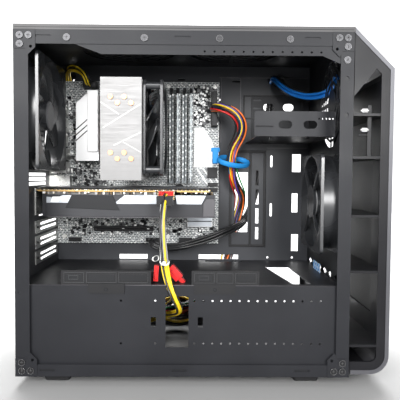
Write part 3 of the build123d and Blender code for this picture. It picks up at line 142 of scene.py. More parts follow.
def add_ring(
    bm, centre, axis, radius, tube, sides=28, tube_sides=8, stretch=(1.0, 1.0), flat=1.0, material=0
):
    """A closed hoop round a centre; stretch widens it in its plane and flat squeezes its section."""
    turn = axis_turn(axis)
    rings = []
    for step in range(sides):
        angle = 2 * math.pi * step / sides
        ring = []
        for part in range(tube_sides):
            around = 2 * math.pi * part / tube_sides
            reach = radius + tube * math.cos(around)
            place = Vector((
                reach * math.cos(angle) * stretch[0],
                reach * math.sin(angle) * stretch[1],
                tube * flat * math.sin(around),
            ))
            ring.append(bm.verts.new(Vector(centre) + turn.to_3x3() @ place))
        rings.append(ring)
    for step in range(sides):
        here = rings[step]
        after = rings[(step + 1) % sides]
        for part in range(tube_sides):
            nearby = (part + 1) % tube_sides
            face = bm.faces.new((here[part], after[part], after[nearby], here[nearby]))
            face.material_index = material


def add_tube(bm, points, radius, sides=7, material=0):
    """A round tube with capped ends that follows a list of points."""
    rings = []
    side = None
    for index, point in enumerate(points):
        before = points[max(index - 1, 0)]
        after = points[min(index + 1, len(points) - 1)]
        ahead = (after - before).normalized()
        if side is None:
            side = ahead.orthogonal().normalized()
        side = (side - ahead * side.dot(ahead)).normalized()
        other = ahead.cross(side)
        ring = []
        for part in range(sides):
            angle = 2 * math.pi * part / sides
            ring.append(bm.verts.new(point + (side * math.cos(angle) + other * math.sin(angle)) * radius))
        rings.append(ring)
    faces = [bm.faces.new(list(reversed(rings[0]))), bm.faces.new(rings[-1])]
    for here, after in zip(rings, rings[1:]):
        for part in range(sides):
            nearby = (part + 1) % sides
            faces.append(bm.faces.new((here[part], here[nearby], after[nearby], after[part])))
    for face in faces:
        face.material_index = material
        face.smooth = True


# ---------------------------------------------------------------- materials
def shader(name, colour, rough=0.5, metal=0.0):
    """A new node material; returns the material, its nodes, its links and its shader."""
    material = bpy.data.materials.new(name)
    material.use_nodes = True
    nodes = material.node_tree.nodes
    surface = nodes["Principled BSDF"]
    surface.inputs["Base Color"].default_value = (*colour, 1.0)
    surface.inputs["Roughness"].default_value = rough
    surface.inputs["Metallic"].default_value = metal
    return material, nodes, material.node_tree.links, surface


def place_node(nodes, links, stretch=(1.0, 1.0, 1.0)):
    """Object coordinates in metres, stretched along each axis."""
    coordinates = nodes.new("ShaderNodeTexCoord")
    mapping = nodes.new("ShaderNodeMapping")
    mapping.inputs["Scale"].default_value = stretch
    links.new(coordinates.outputs["Object"], mapping.inputs["Vector"])
    return mapping.outputs["Vector"]


def noise_node(nodes, links, vector, scale, detail=3.0):
    """Noise at a scale in features per metre."""
    noise = nodes.new("ShaderNodeTexNoise")
    noise.inputs["Scale"].default_value = scale
    noise.inputs["Detail"].default_value = detail
    links.new(vector, noise.inputs["Vector"])
    return noise.outputs["Fac"]


def spread_node(nodes, links, value, lowest, highest):
    """A value from 0 to 1 spread over a range."""
    spread = nodes.new("ShaderNodeMapRange")
    spread.inputs["From Min"].default_value = 0.3
    spread.inputs["From Max"].default_value = 0.7
    spread.inputs["To Min"].default_value = lowest
    spread.inputs["To Max"].default_value = highest
    links.new(value, spread.inputs["Value"])
    return spread.outputs["Result"]


def tint_node(nodes, links, value, dark, pale):
    """A colour between two, chosen by a value."""
    ramp = nodes.new("ShaderNodeValToRGB")
    ramp.color_ramp.elements[0].position = 0.3
    ramp.color_ramp.elements[0].color = (*dark, 1.0)
    ramp.color_ramp.elements[1].position = 0.7
    ramp.color_ramp.elements[1].color = (*pale, 1.0)
    links.new(value, ramp.inputs["Fac"])
    return ramp.outputs["Color"]


def bump_node(nodes, links, value, surface, strength, depth):
    """Roughens the surface by a value: depth in metres."""
    bump = nodes.new("ShaderNodeBump")
    bump.inputs["Strength"].default_value = strength
    bump.inputs["Distance"].default_value = depth
    links.new(value, bump.inputs["Height"])
    links.new(bump.outputs["Normal"], surface.inputs["Normal"])


def shaded(colour, factor):
    """A colour made darker or paler."""
    return tuple(min(1.0, part * factor) for part in colour)


def coated(name, colour, rough=0.42, grain=1400.0, depth=0.00004, metal=0.0, variation=0.12, shine=0.2):
    """Powder coat or moulded plastic: a fine orange-peel grain over slow changes of tone."""
    material, nodes, links, surface = shader(name, colour, rough, metal)
    surface.inputs["Specular IOR Level"].default_value = shine
    place = place_node(nodes, links)
    slow = noise_node(nodes, links, place, 14.0)
    fine = noise_node(nodes, links, place, grain, 2.0)
    links.new(
        tint_node(nodes, links, slow, shaded(colour, 1 - variation), shaded(colour, 1 + variation)),
        surface.inputs["Base Color"],
    )
    links.new(spread_node(nodes, links, slow, rough - 0.05, rough + 0.06), surface.inputs["Roughness"])
    bump_node(nodes, links, fine, surface, 0.5, depth)
    return material


def brushed(name, colour, rough=0.34, stretch=(30.0, 900.0, 900.0), metal=1.0):
    """Brushed or rolled metal: long fine scratches along one axis."""
    material, nodes, links, surface = shader(name, colour, rough, metal)
    streaks = noise_node(nodes, links, place_node(nodes, links, stretch), 1.0, 4.0)
    slow = noise_node(nodes, links, place_node(nodes, links), 20.0)
    links.new(
        tint_node(nodes, links, slow, shaded(colour, 0.88), shaded(colour, 1.06)),
        surface.inputs["Base Color"],
    )
    links.new(spread_node(nodes, links, streaks, rough - 0.08, rough + 0.12), surface.inputs["Roughness"])
    bump_node(nodes, links, streaks, surface, 0.25, 0.00005)
    return material


def cell_node(nodes, links, vector, scale, feature="F1"):
    """Voronoi cells at a scale in cells per metre; returns the node."""
    cells = nodes.new("ShaderNodeTexVoronoi")
    cells.feature = feature
    cells.inputs["Scale"].default_value = scale
    links.new(vector, cells.inputs["Vector"])
    return cells


def circuit(name, mask, trace, stretch=(1.0, 1.0, 1.0)):
    """Solder mask over copper: square-edged traces and small bright pads."""
    material, nodes, links, surface = shader(name, mask, 0.32)
    place = place_node(nodes, links, stretch)
    traces = nodes.new("ShaderNodeTexBrick")
    traces.inputs["Scale"].default_value = 95.0
    traces.inputs["Mortar Size"].default_value = 0.06
    traces.inputs["Color1"].default_value = (*mask, 1.0)
    traces.inputs["Color2"].default_value = (*shaded(mask, 1.7), 1.0)
    traces.inputs["Mortar"].default_value = (*trace, 1.0)
    turned = nodes.new("ShaderNodeMapping")
    turned.inputs["Rotation"].default_value = (math.radians(90), 0.0, 0.0)
    links.new(place, turned.inputs["Vector"])
    links.new(turned.outputs["Vector"], traces.inputs["Vector"])
    pads = cell_node(nodes, links, place, 330.0)
    ramp = nodes.new("ShaderNodeValToRGB")
    ramp.color_ramp.interpolation = "CONSTANT"
    ramp.color_ramp.elements[0].color = (1.0, 1.0, 1.0, 1.0)
    ramp.color_ramp.elements[1].position = 0.27
    ramp.color_ramp.elements[1].color = (0.0, 0.0, 0.0, 1.0)
    links.new(pads.outputs["Distance"], ramp.inputs["Fac"])
    mix = nodes.new("ShaderNodeMix")
    mix.data_type = "RGBA"
    mix.inputs["B"].default_value = (0.85, 0.85, 0.82, 1.0)
    links.new(ramp.outputs["Color"], mix.inputs["Factor"])
    links.new(traces.outputs["Color"], mix.inputs["A"])
    links.new(mix.outputs["Result"], surface.inputs["Base Color"])
    bump_node(nodes, links, traces.outputs["Fac"], surface, 0.4, 0.00008)
    return material


def mesh_sheet(name, colour, pitch, axes=("X", "Y")):
    """A fine punched sheet, its holes drawn as dark dots at a pitch in metres."""
    material, nodes, links, surface = shader(name, colour, 0.5)
    place = place_node(nodes, links, (1 / pitch, 1 / pitch, 1 / pitch))
    parts = nodes.new("ShaderNodeSeparateXYZ")
    links.new(place, parts.inputs["Vector"])
    waves = []
    for axis in axes:
        scaled = nodes.new("ShaderNodeMath")
        scaled.operation = "MULTIPLY"
        scaled.inputs[1].default_value = 2 * math.pi
        links.new(parts.outputs[axis], scaled.inputs[0])
        wave = nodes.new("ShaderNodeMath")
        wave.operation = "SINE"
        links.new(scaled.outputs[0], wave.inputs[0])
        waves.append(wave.outputs[0])
    both = nodes.new("ShaderNodeMath")
    both.operation = "MULTIPLY"
    links.new(waves[0], both.inputs[0])
    links.new(waves[1], both.inputs[1])
    links.new(
        tint_node(nodes, links, both.outputs[0], shaded(colour, 1.4), shaded(colour, 0.15)),
        surface.inputs["Base Color"],
    )
    bump_node(nodes, links, both.outputs[0], surface, 0.5, 0.0003)
    return material


def wire_cover(name, colour):
    """Soft plastic insulation, a little shiny, with faint scuffs."""
    material, nodes, links, surface = shader(name, colour, 0.38)
    place = place_node(nodes, links)
    scuffs = noise_node(nodes, links, place, 260.0)
    links.new(
        tint_node(nodes, links, scuffs, shaded(colour, 0.82), shaded(colour, 1.08)),
        surface.inputs["Base Color"],
    )
    links.new(spread_node(nodes, links, scuffs, 0.3, 0.5), surface.inputs["Roughness"])
    bump_node(nodes, links, noise_node(nodes, links, place, 900.0), surface, 0.3, 0.00005)
    return material


STEEL = coated("steel_coat", (0.02, 0.0205, 0.023), 0.4)
TRAY_STEEL = coated("tray_coat", (0.033, 0.0345, 0.039), 0.4)
STEEL_FRAME = coated("frame_coat", (0.0145, 0.015, 0.0175), 0.42, shine=0.15)
COVER_COAT = coated("cover_coat", (0.06, 0.0585, 0.059), 0.4)
DARK_STEEL = coated("dark_steel_coat", (0.011, 0.0115, 0.013), 0.42)
# Moulded black plastic; also the painted shade in the white heatsinks' slanting grooves.
BLACK = coated("moulded_black_and_painted_shade", (0.011, 0.011, 0.012), 0.45, 900.0)
SOFT_BLACK = coated("fan_black_plastic", (0.019, 0.02, 0.022), 0.27, 700.0, 0.00002, 0.0, 0.1, 0.6)
GLOSS_BLACK = coated("gloss_black_plastic", (0.01, 0.01, 0.0115), 0.34, 400.0, 0.00001, 0.0, 0.1, 0.12)
SCREW_BLACK = coated("screw_black", (0.035, 0.035, 0.037), 0.3, 1800.0, 0.00003, 0.7)
PALE_SILVER = coated("pale_silver_trim", (0.075, 0.075, 0.082), 0.34, 500.0, 0.00002, 0.3, 0.06)
# Bright bare metal for the spring clips and screw crosses; also the painted highlight rings on the screw
# heads.
BRIGHT_METAL_AND_HIGHLIGHT = coated("bright_metal_and_highlight", (0.2, 0.2, 0.2), 0.34, 700.0, 0.00002, 0.4)
ZINC = brushed("zinc_plate", (0.6, 0.6, 0.58), 0.32, (500.0, 40.0, 500.0))
FIN_METAL = brushed("fin_aluminium", (0.2, 0.198, 0.197), 0.46, (40.0, 300.0, 900.0), 0.3)
COPPER = brushed("copper_pipe", (0.6, 0.27, 0.14), 0.34, (300.0, 30.0, 300.0), 0.7)
WHITE_METAL = coated("white_heatsink", (0.9, 0.9, 0.9), 0.38, 1100.0, 0.00003, 0.15, 0.03)
CARD_GREY = coated("card_grey", (0.035, 0.0355, 0.039), 0.36, 1200.0)
CARD_SILVER = brushed("card_silver", (0.48, 0.51, 0.55), 0.34, (40.0, 600.0, 900.0), 0.3)
CARD_BRUSHED = brushed("card_brushed", (0.055, 0.053, 0.058), 0.42, (30.0, 700.0, 1200.0), 0.3)
GOLD = brushed("gold_edge", (0.42, 0.26, 0.09), 0.35, (200.0, 200.0, 40.0), 0.6)
BOARD = circuit("main_board", (0.03, 0.033, 0.036), (0.4, 0.42, 0.42))
CARD_BOARD = circuit("card_board", (0.03, 0.025, 0.02), (0.5, 0.36, 0.16))
MODULE_BOARD = circuit("memory_board", (0.3, 0.34, 0.35), (0.6, 0.64, 0.66))
SLOT_GREY = coated("slot_grey", (0.24, 0.26, 0.27), 0.34, 900.0)
CHIP = coated("chip_black", (0.016, 0.016, 0.018), 0.35, 1600.0, 0.00002)
PRINT_WHITE = coated("print_white", (0.9, 0.91, 0.9), 0.4, 900.0, 0.00001, 0.0, 0.03)
PRINT_GREY = coated("print_grey", (0.3, 0.31, 0.32), 0.45, 900.0, 0.00001)
SOLDER = brushed("solder", (0.8, 0.8, 0.79), 0.32, (300.0, 300.0, 300.0), 0.15)
RED_PLASTIC = coated("red_plastic", (0.62, 0.02, 0.02), 0.32, 800.0)
BLUE_BAND = coated("blue_band", (0.015, 0.19, 0.48), 0.55, 1500.0, 0.0001)
# White plastic for the cable tie; also the painted light of the pale strip behind the front wall's lattice.
TIE_WHITE_AND_PAINTED_LIGHT = coated("tie_white_and_painted_light", (0.75, 0.76, 0.74), 0.4, 900.0)
FILTER = mesh_sheet("filter_mesh", (0.05, 0.05, 0.053), 0.0022)
INTAKE_MESH = mesh_sheet("intake_mesh", (0.012, 0.012, 0.013), 0.0016, ("Y", "Z"))
RUBBER = coated("foot_rubber", (0.02, 0.02, 0.021), 0.75, 700.0, 0.00012)

WIRE_COLOURS = {
    "yellow": (0.8, 0.56, 0.015),
    "black": (0.014, 0.014, 0.015),
    "red": (0.55, 0.018, 0.015),
    "orange": (0.78, 0.16, 0.02),
    "blue": (0.015, 0.12, 0.42),
    "green": (0.02, 0.24, 0.07),
    "purple": (0.11, 0.06, 0.3),
    "grey": (0.2, 0.2, 0.21),
    "white": (0.7, 0.7, 0.67),
    "brown": (0.12, 0.05, 0.025),
    "bright_blue": (0.01, 0.16, 0.55),
}
WIRES = {name: wire_cover("wire_" + name, colour) for name, colour in WIRE_COLOURS.items()}

NODE_MATERIALS = {
    STEEL_FRAME: ("side_frames", "corner_brackets", "top_panel", "drive_cage", "psu_shroud"),
    STEEL: ("rear_wall", "psu_case"),
    TRAY_STEEL: ("motherboard_tray",),
    DARK_STEEL: ("front_wall", "bottom_pan"),
    COVER_COAT: ("top_cover",),
    SCREW_BLACK: ("case_screws", "gpu_backplate"),
    ZINC: ("board_standoffs", "io_ports", "io_shield", "slot_covers", "gpu_bracket", "cpu"),
    RUBBER: ("feet",),
    FILTER: ("top_filter",),
    GLOSS_BLACK: ("front_panel_frame",),
    BLACK: (
        "front_fascia", "front_ports", "dimm_latch_1", "dimm_latch_2", "dimm_latch_3",
        "dimm_latch_4", "pcie_slots", "pcie_latch", "board_sockets", "psu_inlet", "psu_switch",
        "shroud_trays", "power_button", "reset_button",
    ),
    PALE_SILVER: ("front_trim",),
    SOFT_BLACK: (
        "rear_fan_frame", "rear_fan_rotor", "front_fan_frame", "front_fan_rotor", "cpu_fan_frame",
        "cpu_fan_rotor", "psu_fan", "gpu_fan_rear", "gpu_fan_front",
    ),
    FIN_METAL: ("cooler_fins", "gpu_heatsink"),
    COPPER: ("cooler_base",),
    BOARD: ("motherboard",),
    CARD_BOARD: ("gpu_board",),
    MODULE_BOARD: ("memory_modules",),
    SLOT_GREY: ("dimm_slots",),
    CARD_GREY: ("gpu_shroud",),
}


def paint_nodes():
    """Give every carried-over CAD node its material."""
    for material, names in NODE_MATERIALS.items():
        for name in names:
            mesh = NODES[name].data
            mesh.materials.clear()
            mesh.materials.append(material)


# ---------------------------------------------------------------- camera, floor and light
def add_camera():
    """The camera, level with the middle of the case and looking slightly down at its open side."""
    data = bpy.data.cameras.new("camera")
    data.lens = 50.07
    data.sensor_width = 36.0
    camera = bpy.data.objects.new("camera", data)
    bpy.context.scene.collection.objects.link(camera)
    to_front = 0.011
    down = 0.044
    roll = 0.007
    turn = (
        Matrix.Rotation(-to_front, 4, "Z")
        @ Matrix.Rotation(math.pi / 2 - down, 4, "X")
        @ Matrix.Rotation(roll, 4, "Z")
    )
    camera.matrix_world = Matrix.Translation((-0.0079, -0.7623, 0.2496)) @ turn
    bpy.context.scene.camera = camera


def add_floor():
    """A large pale floor that turns up into a backdrop far behind the case."""
    half_width = 8.0
    near_edge = -6.0
    bend_start = 3.0
    bend = 1.5
    height = 6.0
    outline = [(near_edge, 0.0), (bend_start, 0.0)]
    for turn in (0.3, 0.6, 0.9, 1.2):
        outline.append((bend_start + bend * math.sin(turn), bend - bend * math.cos(turn)))
    outline += [(bend_start + bend, bend), (bend_start + bend, height)]
    bm = bmesh.new()
    sides = []
    for x in (-half_width, half_width):
        sides.append([bm.verts.new((x, y, z)) for y, z in outline])
    for i in range(len(outline) - 1):
        bm.faces.new((sides[0][i], sides[1][i], sides[1][i + 1], sides[0][i + 1]))
    mesh = bpy.data.meshes.new("floor")
    bm.to_mesh(mesh)
    bm.free()
    floor = bpy.data.objects.new("floor", mesh)
    bpy.context.scene.collection.objects.link(floor)
    mesh.materials.append(coated("floor_paper", (0.3, 0.3, 0.3), 0.75, 60.0, 0.0001, 0.0, 0.01))


def add_area(name, place, target, size, power):
    """A soft square light that looks at a target."""
    data = bpy.data.lights.new(name, "AREA")
    data.shape = "SQUARE"
    data.size = size
    data.energy = power
    light = bpy.data.objects.new(name, data)
    bpy.context.scene.collection.objects.link(light)
    ahead = Vector(target) - Vector(place)
    light.matrix_world = Matrix.Translation(place) @ ahead.to_track_quat("-Z", "Y").to_matrix().to_4x4()


def add_room():
    """A white room, bright behind the case and dim on the camera's side."""
    world = bpy.data.worlds.new("studio")
    world.use_nodes = True
    nodes = world.node_tree.nodes
    links = world.node_tree.links
    direction = nodes.new("ShaderNodeTexCoord")
    parts = nodes.new("ShaderNodeSeparateXYZ")
    depth = nodes.new("ShaderNodeMapRange")
    depth.inputs["From Min"].default_value = -0.4
    depth.inputs["From Max"].default_value = 0.4
    depth.inputs["To Min"].default_value = 0.35
    depth.inputs["To Max"].default_value = 1.0
    links.new(direction.outputs["Generated"], parts.inputs["Vector"])
    links.new(parts.outputs["Y"], depth.inputs["Value"])
    links.new(depth.outputs["Result"], nodes["Background"].inputs["Strength"])
    nodes["Background"].inputs["Color"].default_value = (1.0, 1.0, 1.0, 1.0)
    bpy.context.scene.world = world


def add_light():
    """Soft lights: above, low on both sides of the camera, over the floor behind, and on the backdrop."""
    add_room()
    add_area("above", (0.0, 0.2, 1.8), (0.0, 0.0, 0.2), 1.2, 9.0)
    add_area("front_left", (-0.5, -1.5, 0.75), (0.0, 0.0, 0.22), 0.7, 38.0)
    add_area("front_right", (0.5, -1.6, 0.5), (0.0, 0.0, 0.2), 0.5, 26.0)
    add_area("behind", (0.0, 2.4, 2.4), (0.0, 2.6, 0.0), 3.0, 290.0)
    add_area("backdrop", (0.0, 1.8, 3.2), (0.0, 4.5, 0.6), 3.0, 600.0)


# ---------------------------------------------------------------- fans
def add_blade(bm, hub, radius, depth, start, sweep, chord, material=0):
    """One curved blade about the Z axis, as a solid sheet from the hub to its tip."""
    spans = 8
    widths = 6
    thick = 1.2
    sides = []
    for side in (-0.5, 0.5):
        rows = []
        for i in range(spans + 1):
            along = i / spans
            reach = hub - 0.5 + (radius - hub + 0.5) * along
            row = []
            for j in range(widths + 1):
                across = j / widths - 0.5
                angle = start + sweep * along ** 1.3 + chord * across * (1.0 - 0.12 * along)
                height = depth * (0.5 - 0.86 * across) + 1.6 * math.cos(math.pi * across) + side * thick
                row.append(bm.verts.new((reach * math.cos(angle), reach * math.sin(angle), height)))
            rows.append(row)
        sides.append(rows)
    faces = []
    for rows in sides:
        for i in range(spans):
            for j in range(widths):
                faces.append(bm.faces.new((rows[i][j], rows[i][j + 1], rows[i + 1][j + 1], rows[i + 1][j])))
    rim = [(0, j) for j in range(widths)] + [(i, widths) for i in range(spans)]
    rim += [(spans, j) for j in range(widths, 0, -1)] + [(i, 0) for i in range(spans, 0, -1)]
    for here, after in zip(rim, rim[1:] + rim[:1]):
        a = sides[0][here[0]][here[1]]
        b = sides[0][after[0]][after[1]]
        c = sides[1][after[0]][after[1]]
        d = sides[1][here[0]][here[1]]
        faces.append(bm.faces.new((a, b, c, d)))
    for face in faces:
        face.material_index = material
        face.smooth = True


def fan_rotor(name, axis, blades, hub, radius, sweep, hub_material):
    """A rotor with a crowned hub and curved blades, in its CAD node's place."""
    lo = low(name)
    hi = high(name)
    centre = (lo + hi) / 2
    axis = Vector(axis)
    depth = abs((hi - lo).dot(axis))
    bm = bmesh.new()
    chord = 2 * math.pi / blades * 0.94
    for index in range(blades):
        add_blade(bm, hub, radius, depth - 4.0, 2 * math.pi * index / blades, sweep, chord)
    add_rod(bm, (0, 0, 0), (0, 0, 1), hub, depth - 1.5, 40)
    add_rod(bm, (0, 0, depth - 1.5), (0, 0, 1), hub, 1.2, 40, hub - 1.2, 1)
    add_rod(bm, (0, 0, depth - 0.3), (0, 0, 1), hub - 3.0, 0.3, 40, hub - 3.3, 1)
    base = centre - axis * depth / 2
    bmesh.ops.transform(bm, matrix=Matrix.Translation(base) @ axis_turn(axis), verts=bm.verts)
    piece = finish_mesh(name + "_blades", bm, name, (SOFT_BLACK, hub_material))
    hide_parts(name)
    return piece


def all_rotors():
    """Every fan's rotor."""
    label = coated("hub_label", (0.34, 0.34, 0.35), 0.4)
    grey_hub = coated("hub_grey", (0.075, 0.076, 0.08), 0.4)
    fan_rotor("rear_fan_rotor", (1, 0, 0), 7, 19.0, 66.0, 0.75, grey_hub)
    fan_rotor("front_fan_rotor", (-1, 0, 0), 9, 19.0, 56.0, 0.6, label)
    fan_rotor("cpu_fan_rotor", (1, 0, 0), 9, 19.0, 56.0, 0.6, grey_hub)
    fan_rotor("psu_fan", (0, 0, -1), 9, 19.0, 57.5, 0.6, grey_hub)
    fan_rotor("gpu_fan_rear", (0, 0, -1), 11, 14.0, 42.5, 0.7, label)
    fan_rotor("gpu_fan_front", (0, 0, -1), 11, 14.0, 42.5, 0.7, label)


def add_square_ring(bm, half, corner, bore, z0, z1, steps=96):
    """A square plate with round corners and a round bore, about the Z axis."""
    rings = []
    for step in range(steps):
        angle = 2 * math.pi * step / steps
        way = Vector((math.cos(angle), math.sin(angle)))
        flat = half / max(abs(way.x), abs(way.y))
        inner = half - corner
        reach = flat
        if min(abs(way.x), abs(way.y)) * flat > inner:
            middle = Vector((math.copysign(inner, way.x), math.copysign(inner, way.y)))
            across = way.dot(middle)
            reach = across + math.sqrt(max(across ** 2 - middle.length_squared + corner ** 2, 0.0))
        rings.append([
            bm.verts.new((way.x * bore, way.y * bore, z0)), bm.verts.new((way.x * reach, way.y * reach, z0)),
            bm.verts.new((way.x * reach, way.y * reach, z1)), bm.verts.new((way.x * bore, way.y * bore, z1)),
        ])
    for index, here in enumerate(rings):
        after = rings[(index + 1) % steps]
        for part in range(4):
            nearby = (part + 1) % 4
            bm.faces.new((here[part], here[nearby], after[nearby], after[part]))


def cooler_fan_frame():
    """The cooler fan's frame: two square flanges, corner posts, and a motor mount on four struts."""
    lo = low("cpu_fan_frame")
    hi = high("cpu_fan_frame")
    depth = hi.x - lo.x
    bm = bmesh.new()
    add_square_ring(bm, 60.0, 6.0, 58.0, 0.0, 3.5)
    add_square_ring(bm, 60.0, 6.0, 58.0, depth - 3.5, depth)
    for x in (-52.5, 52.5):
        for y in (-52.5, 52.5):
            add_rod(bm, (x, y, 3.0), (0, 0, 1), 4.6, depth - 6.0, 20)
            turn = Matrix.Rotation(math.atan2(y, x), 4, "Z")
            add_block(bm, (x * 0.62 - 17, y * 0.62 - 2, 0.6), (x * 0.62 + 17, y * 0.62 + 2, 3.0), turn, 0.4)
    add_rod(bm, (0, 0, 0), (0, 0, 1), 21.0, 3.0, 40)
    middle = Vector((lo.x, (lo.y + hi.y) / 2, (lo.z + hi.z) / 2))
    bmesh.ops.transform(bm, matrix=Matrix.Translation(middle) @ axis_turn((1, 0, 0)), verts=bm.verts)
    piece = finish_mesh("cooler_fan_frame", bm, "case", (SOFT_BLACK,))
    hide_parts("cpu_fan_frame")
    bevel = piece.modifiers.new("edges", "BEVEL")
    bevel.width = 0.0004
    bevel.segments = 2
    bevel.limit_method = "ANGLE"


# ---------------------------------------------------------------- small parts of the case
SCREW_OFFSETS = ((7.9, 7.1), (18.0, 7.1), (7.9, 17.0))
RAIL_SCREWS = (-155.0, -66.0, 20.5, 102.0)
SCREW_HEAD = 4.0


def side_screw_places():
    """X, Z and head height of each side frame screw."""
    places = []
    for x, right in ((REAR, 1), (FRONT, -1)):
        for z, up in ((BASE, 1), (ROOF, -1)):
            places.extend((x + right * a, z + up * b, 2.2) for a, b in SCREW_OFFSETS)
    places.extend((x, ROOF - 9.0, 1.4) for x in RAIL_SCREWS)
    places.append((FRONT - 8.0, ROOF - 32.0, 1.4))
    return places


def screw_faces():
    """Bright metal in each side screw: the cross, and a ring of painted highlight round the rim of the head.
    """
    bm = bmesh.new()
    for side in (-1, 1):
        for x, z, proud in side_screw_places():
            face = side * (abs(NEAR) + proud)
            inner = face - side * 0.69
            for wide, tall in ((1.8, 0.3), (0.3, 1.8)):
                ends = sorted((inner, inner + side * 0.15))
                add_block(bm, (x - wide, ends[0], z - tall), (x + wide, ends[1], z + tall))
            # Painted highlight: a bright ring round the rim of each head.
            add_ring(bm, (x, face - side * 0.06, z), (0, 1, 0), SCREW_HEAD - 0.2, 0.16, 32, 6)
    finish_mesh("screw_faces", bm, "case", (BRIGHT_METAL_AND_HIGHLIGHT,), True)


def top_strips():
    """The fine line along the cover's near and far edges."""
    bm = bmesh.new()
    for side in (-1, 1):
        ends = sorted((side * (abs(NEAR) + 0.02), side * (abs(NEAR) + 0.35)))
        add_block(bm, (REAR + 1, ends[0], ROOF + 2.2), (FRONT - 1, ends[1], ROOF + 2.8))
    finish_mesh("cover_seam", bm, "case", (DARK_STEEL,))


def shroud_hem():
    """The bright folded edge along the shroud's top."""
    bm = bmesh.new()
    add_rod(bm, (REAR + 1.5, SHROUD_FACE + 0.5, SHROUD_TOP + 0.1), (1, 0, 0), 0.75, 382, 12)
    finish_mesh("shroud_hem", bm, "case", (CARD_BRUSHED,), True)


def intake_filter():
    """The dark dust filter behind the front face's slots."""
    x = low("front_fascia").x
    bm = bmesh.new()
    add_block(bm, (x - 1.0, -61.5, 78.5), (x - 0.3, 61.5, 331.5), bevel=0.2)
    finish_mesh("intake_filter", bm, "front_panel", (INTAKE_MESH,))


def panel_clips():
    """The post between two ribs of the front panel, with its two bright spring clips."""
    bm = bmesh.new()
    add_block(bm, (196.5, -104, 273.5), (201.5, -100, 320.5), bevel=0.5)
    add_block(bm, (186.0, -104, 298.0), (196.5, -101, 299.5), bevel=0.3)
    add_block(bm, (196.5, -104, 323.5), (201.5, -100, 334.0), bevel=0.5)
    for z in (302.0, 324.5):
        add_block(bm, (188.5, -106.5, z), (196.5, -103, z + 5.5), bevel=0.7, material=1)
        add_block(bm, (187.0, -107.2, z + 1.6), (197.5, -106, z + 3.6), bevel=0.4, material=1)
    finish_mesh("panel_clips", bm, "front_panel", (BLACK, BRIGHT_METAL_AND_HIGHLIGHT))


def add_rim(bm, x0, x1, z0, z1, y, proud, wide, material=0):
    """A rectangular rim that stands proud of a face at y, towards the open side."""
    for a, b, c, d in (
        (x0, x1, z0, z0 + wide), (x0, x1, z1 - wide, z1),
        (x0, x0 + wide, z0 + wide, z1 - wide), (x1 - wide, x1, z0 + wide, z1 - wide),
    ):
        add_block(bm, (a, y - proud, c), (b, y, d), bevel=min(proud, wide) * 0.3, material=material)


def tray_black_rims():
    """Black rims round the board tray's cable channel and round the plate above it, and the seams pressed in
    the tray.
    """
    bm = bmesh.new()
    face = TRAY_FACE
    # Black rims along the dark borders of the channel and of the plate above it.
    add_rim(bm, 46.0, 102.5, 140.0, 288.5, face, 1.2, 4.2)
    add_rim(bm, 77.0, 102.0, 140.5, 288.0, face, 1.8, 3.0)
    add_rim(bm, 66.5, 158.0, 336.0, 372.5, face - 1.0, 1.0, 2.2)
    finish_mesh("tray_black_rims", bm, "case", (BLACK,))
    bm = bmesh.new()
    add_block(bm, (61.5, face - 0.8, 292), (63.0, face, 398), bevel=0.3)
    add_block(bm, (32.0, face - 0.8, 300), (33.2, face, 398), bevel=0.3)
    add_block(bm, (104.0, face - 1.0, 291.5), (164.0, face, 293.0), bevel=0.3)
    add_block(bm, (30.0, face - 0.8, 398), (164.0, face, 399.2), bevel=0.3)
    finish_mesh("tray_seams", bm, "case", (CARD_BRUSHED,))


def wall_lattice():
    """The blue lattice on the front wall, over a pale strip of painted light: the light seen through the
    lattice.
    """
    x = low("front_wall").x
    bm = bmesh.new()
    y0, y1, z0, z1 = -22.0, 21.0, 119.8, 131.5
    # Painted light: the pale strip stands in for light coming through the lattice from the open far side.
    add_block(bm, (x - 0.5, y0, z0), (x - 0.05, y1, z1))
    reach = z1 - z0
    for index in range(-1, 4):
        start = y0 + index * reach
        for lean in (1, -1):
            a = start if lean == 1 else start + reach
            ends = [(a, z0), (a + lean * reach, z1)]
            ends = [(min(max(y, y0), y1), z0 + abs(min(max(y, y0), y1) - a)) for y, z in ends]
            if ends[0] == ends[1]:
                continue
            way = Vector((0, ends[1][0] - ends[0][0], ends[1][1] - ends[0][1]))
            add_rod(bm, (x - 0.5, *ends[0]), way, 0.6, way.length, 6, None, 1)
    finish_mesh("wall_lattice", bm, "case", (TIE_WHITE_AND_PAINTED_LIGHT, BLUE_BAND))


# ---------------------------------------------------------------- cooler and board
def cooler_marks():
    """The raised strips across the cooler's top plate."""
    strips = (
        ((-122.5, 338.3), (-99.9, 323.6), 1.5),
        ((-73.0, 336.7), (-119.9, 307.1), 1.5),
        ((-73.0, 302.1), (-106.6, 285.7), 1.6),
        ((-96.7, 290.8), (-73.0, 277.4), 1.1),
    )
    bm = bmesh.new()
    for (x0, z0), (x1, z1), wide in strips:
        along = Vector((x1 - x0, z1 - z0)).normalized() * wide / 2
        across = Vector((-along.y, along.x))
        outline = [
            (x0 + across.x, z0 + across.y), (x1 + across.x, z1 + across.y),
            (x1 - across.x, z1 - across.y), (x0 - across.x, z0 - across.y),
        ]
        add_plate(bm, outline, FIN_FACE + 0.05, 0.5)
    mark = brushed("mark_aluminium", (0.34, 0.335, 0.33), 0.4, (300.0, 300.0, 60.0), 0.3)
    finish_mesh("cooler_marks", bm, "case", (mark,))


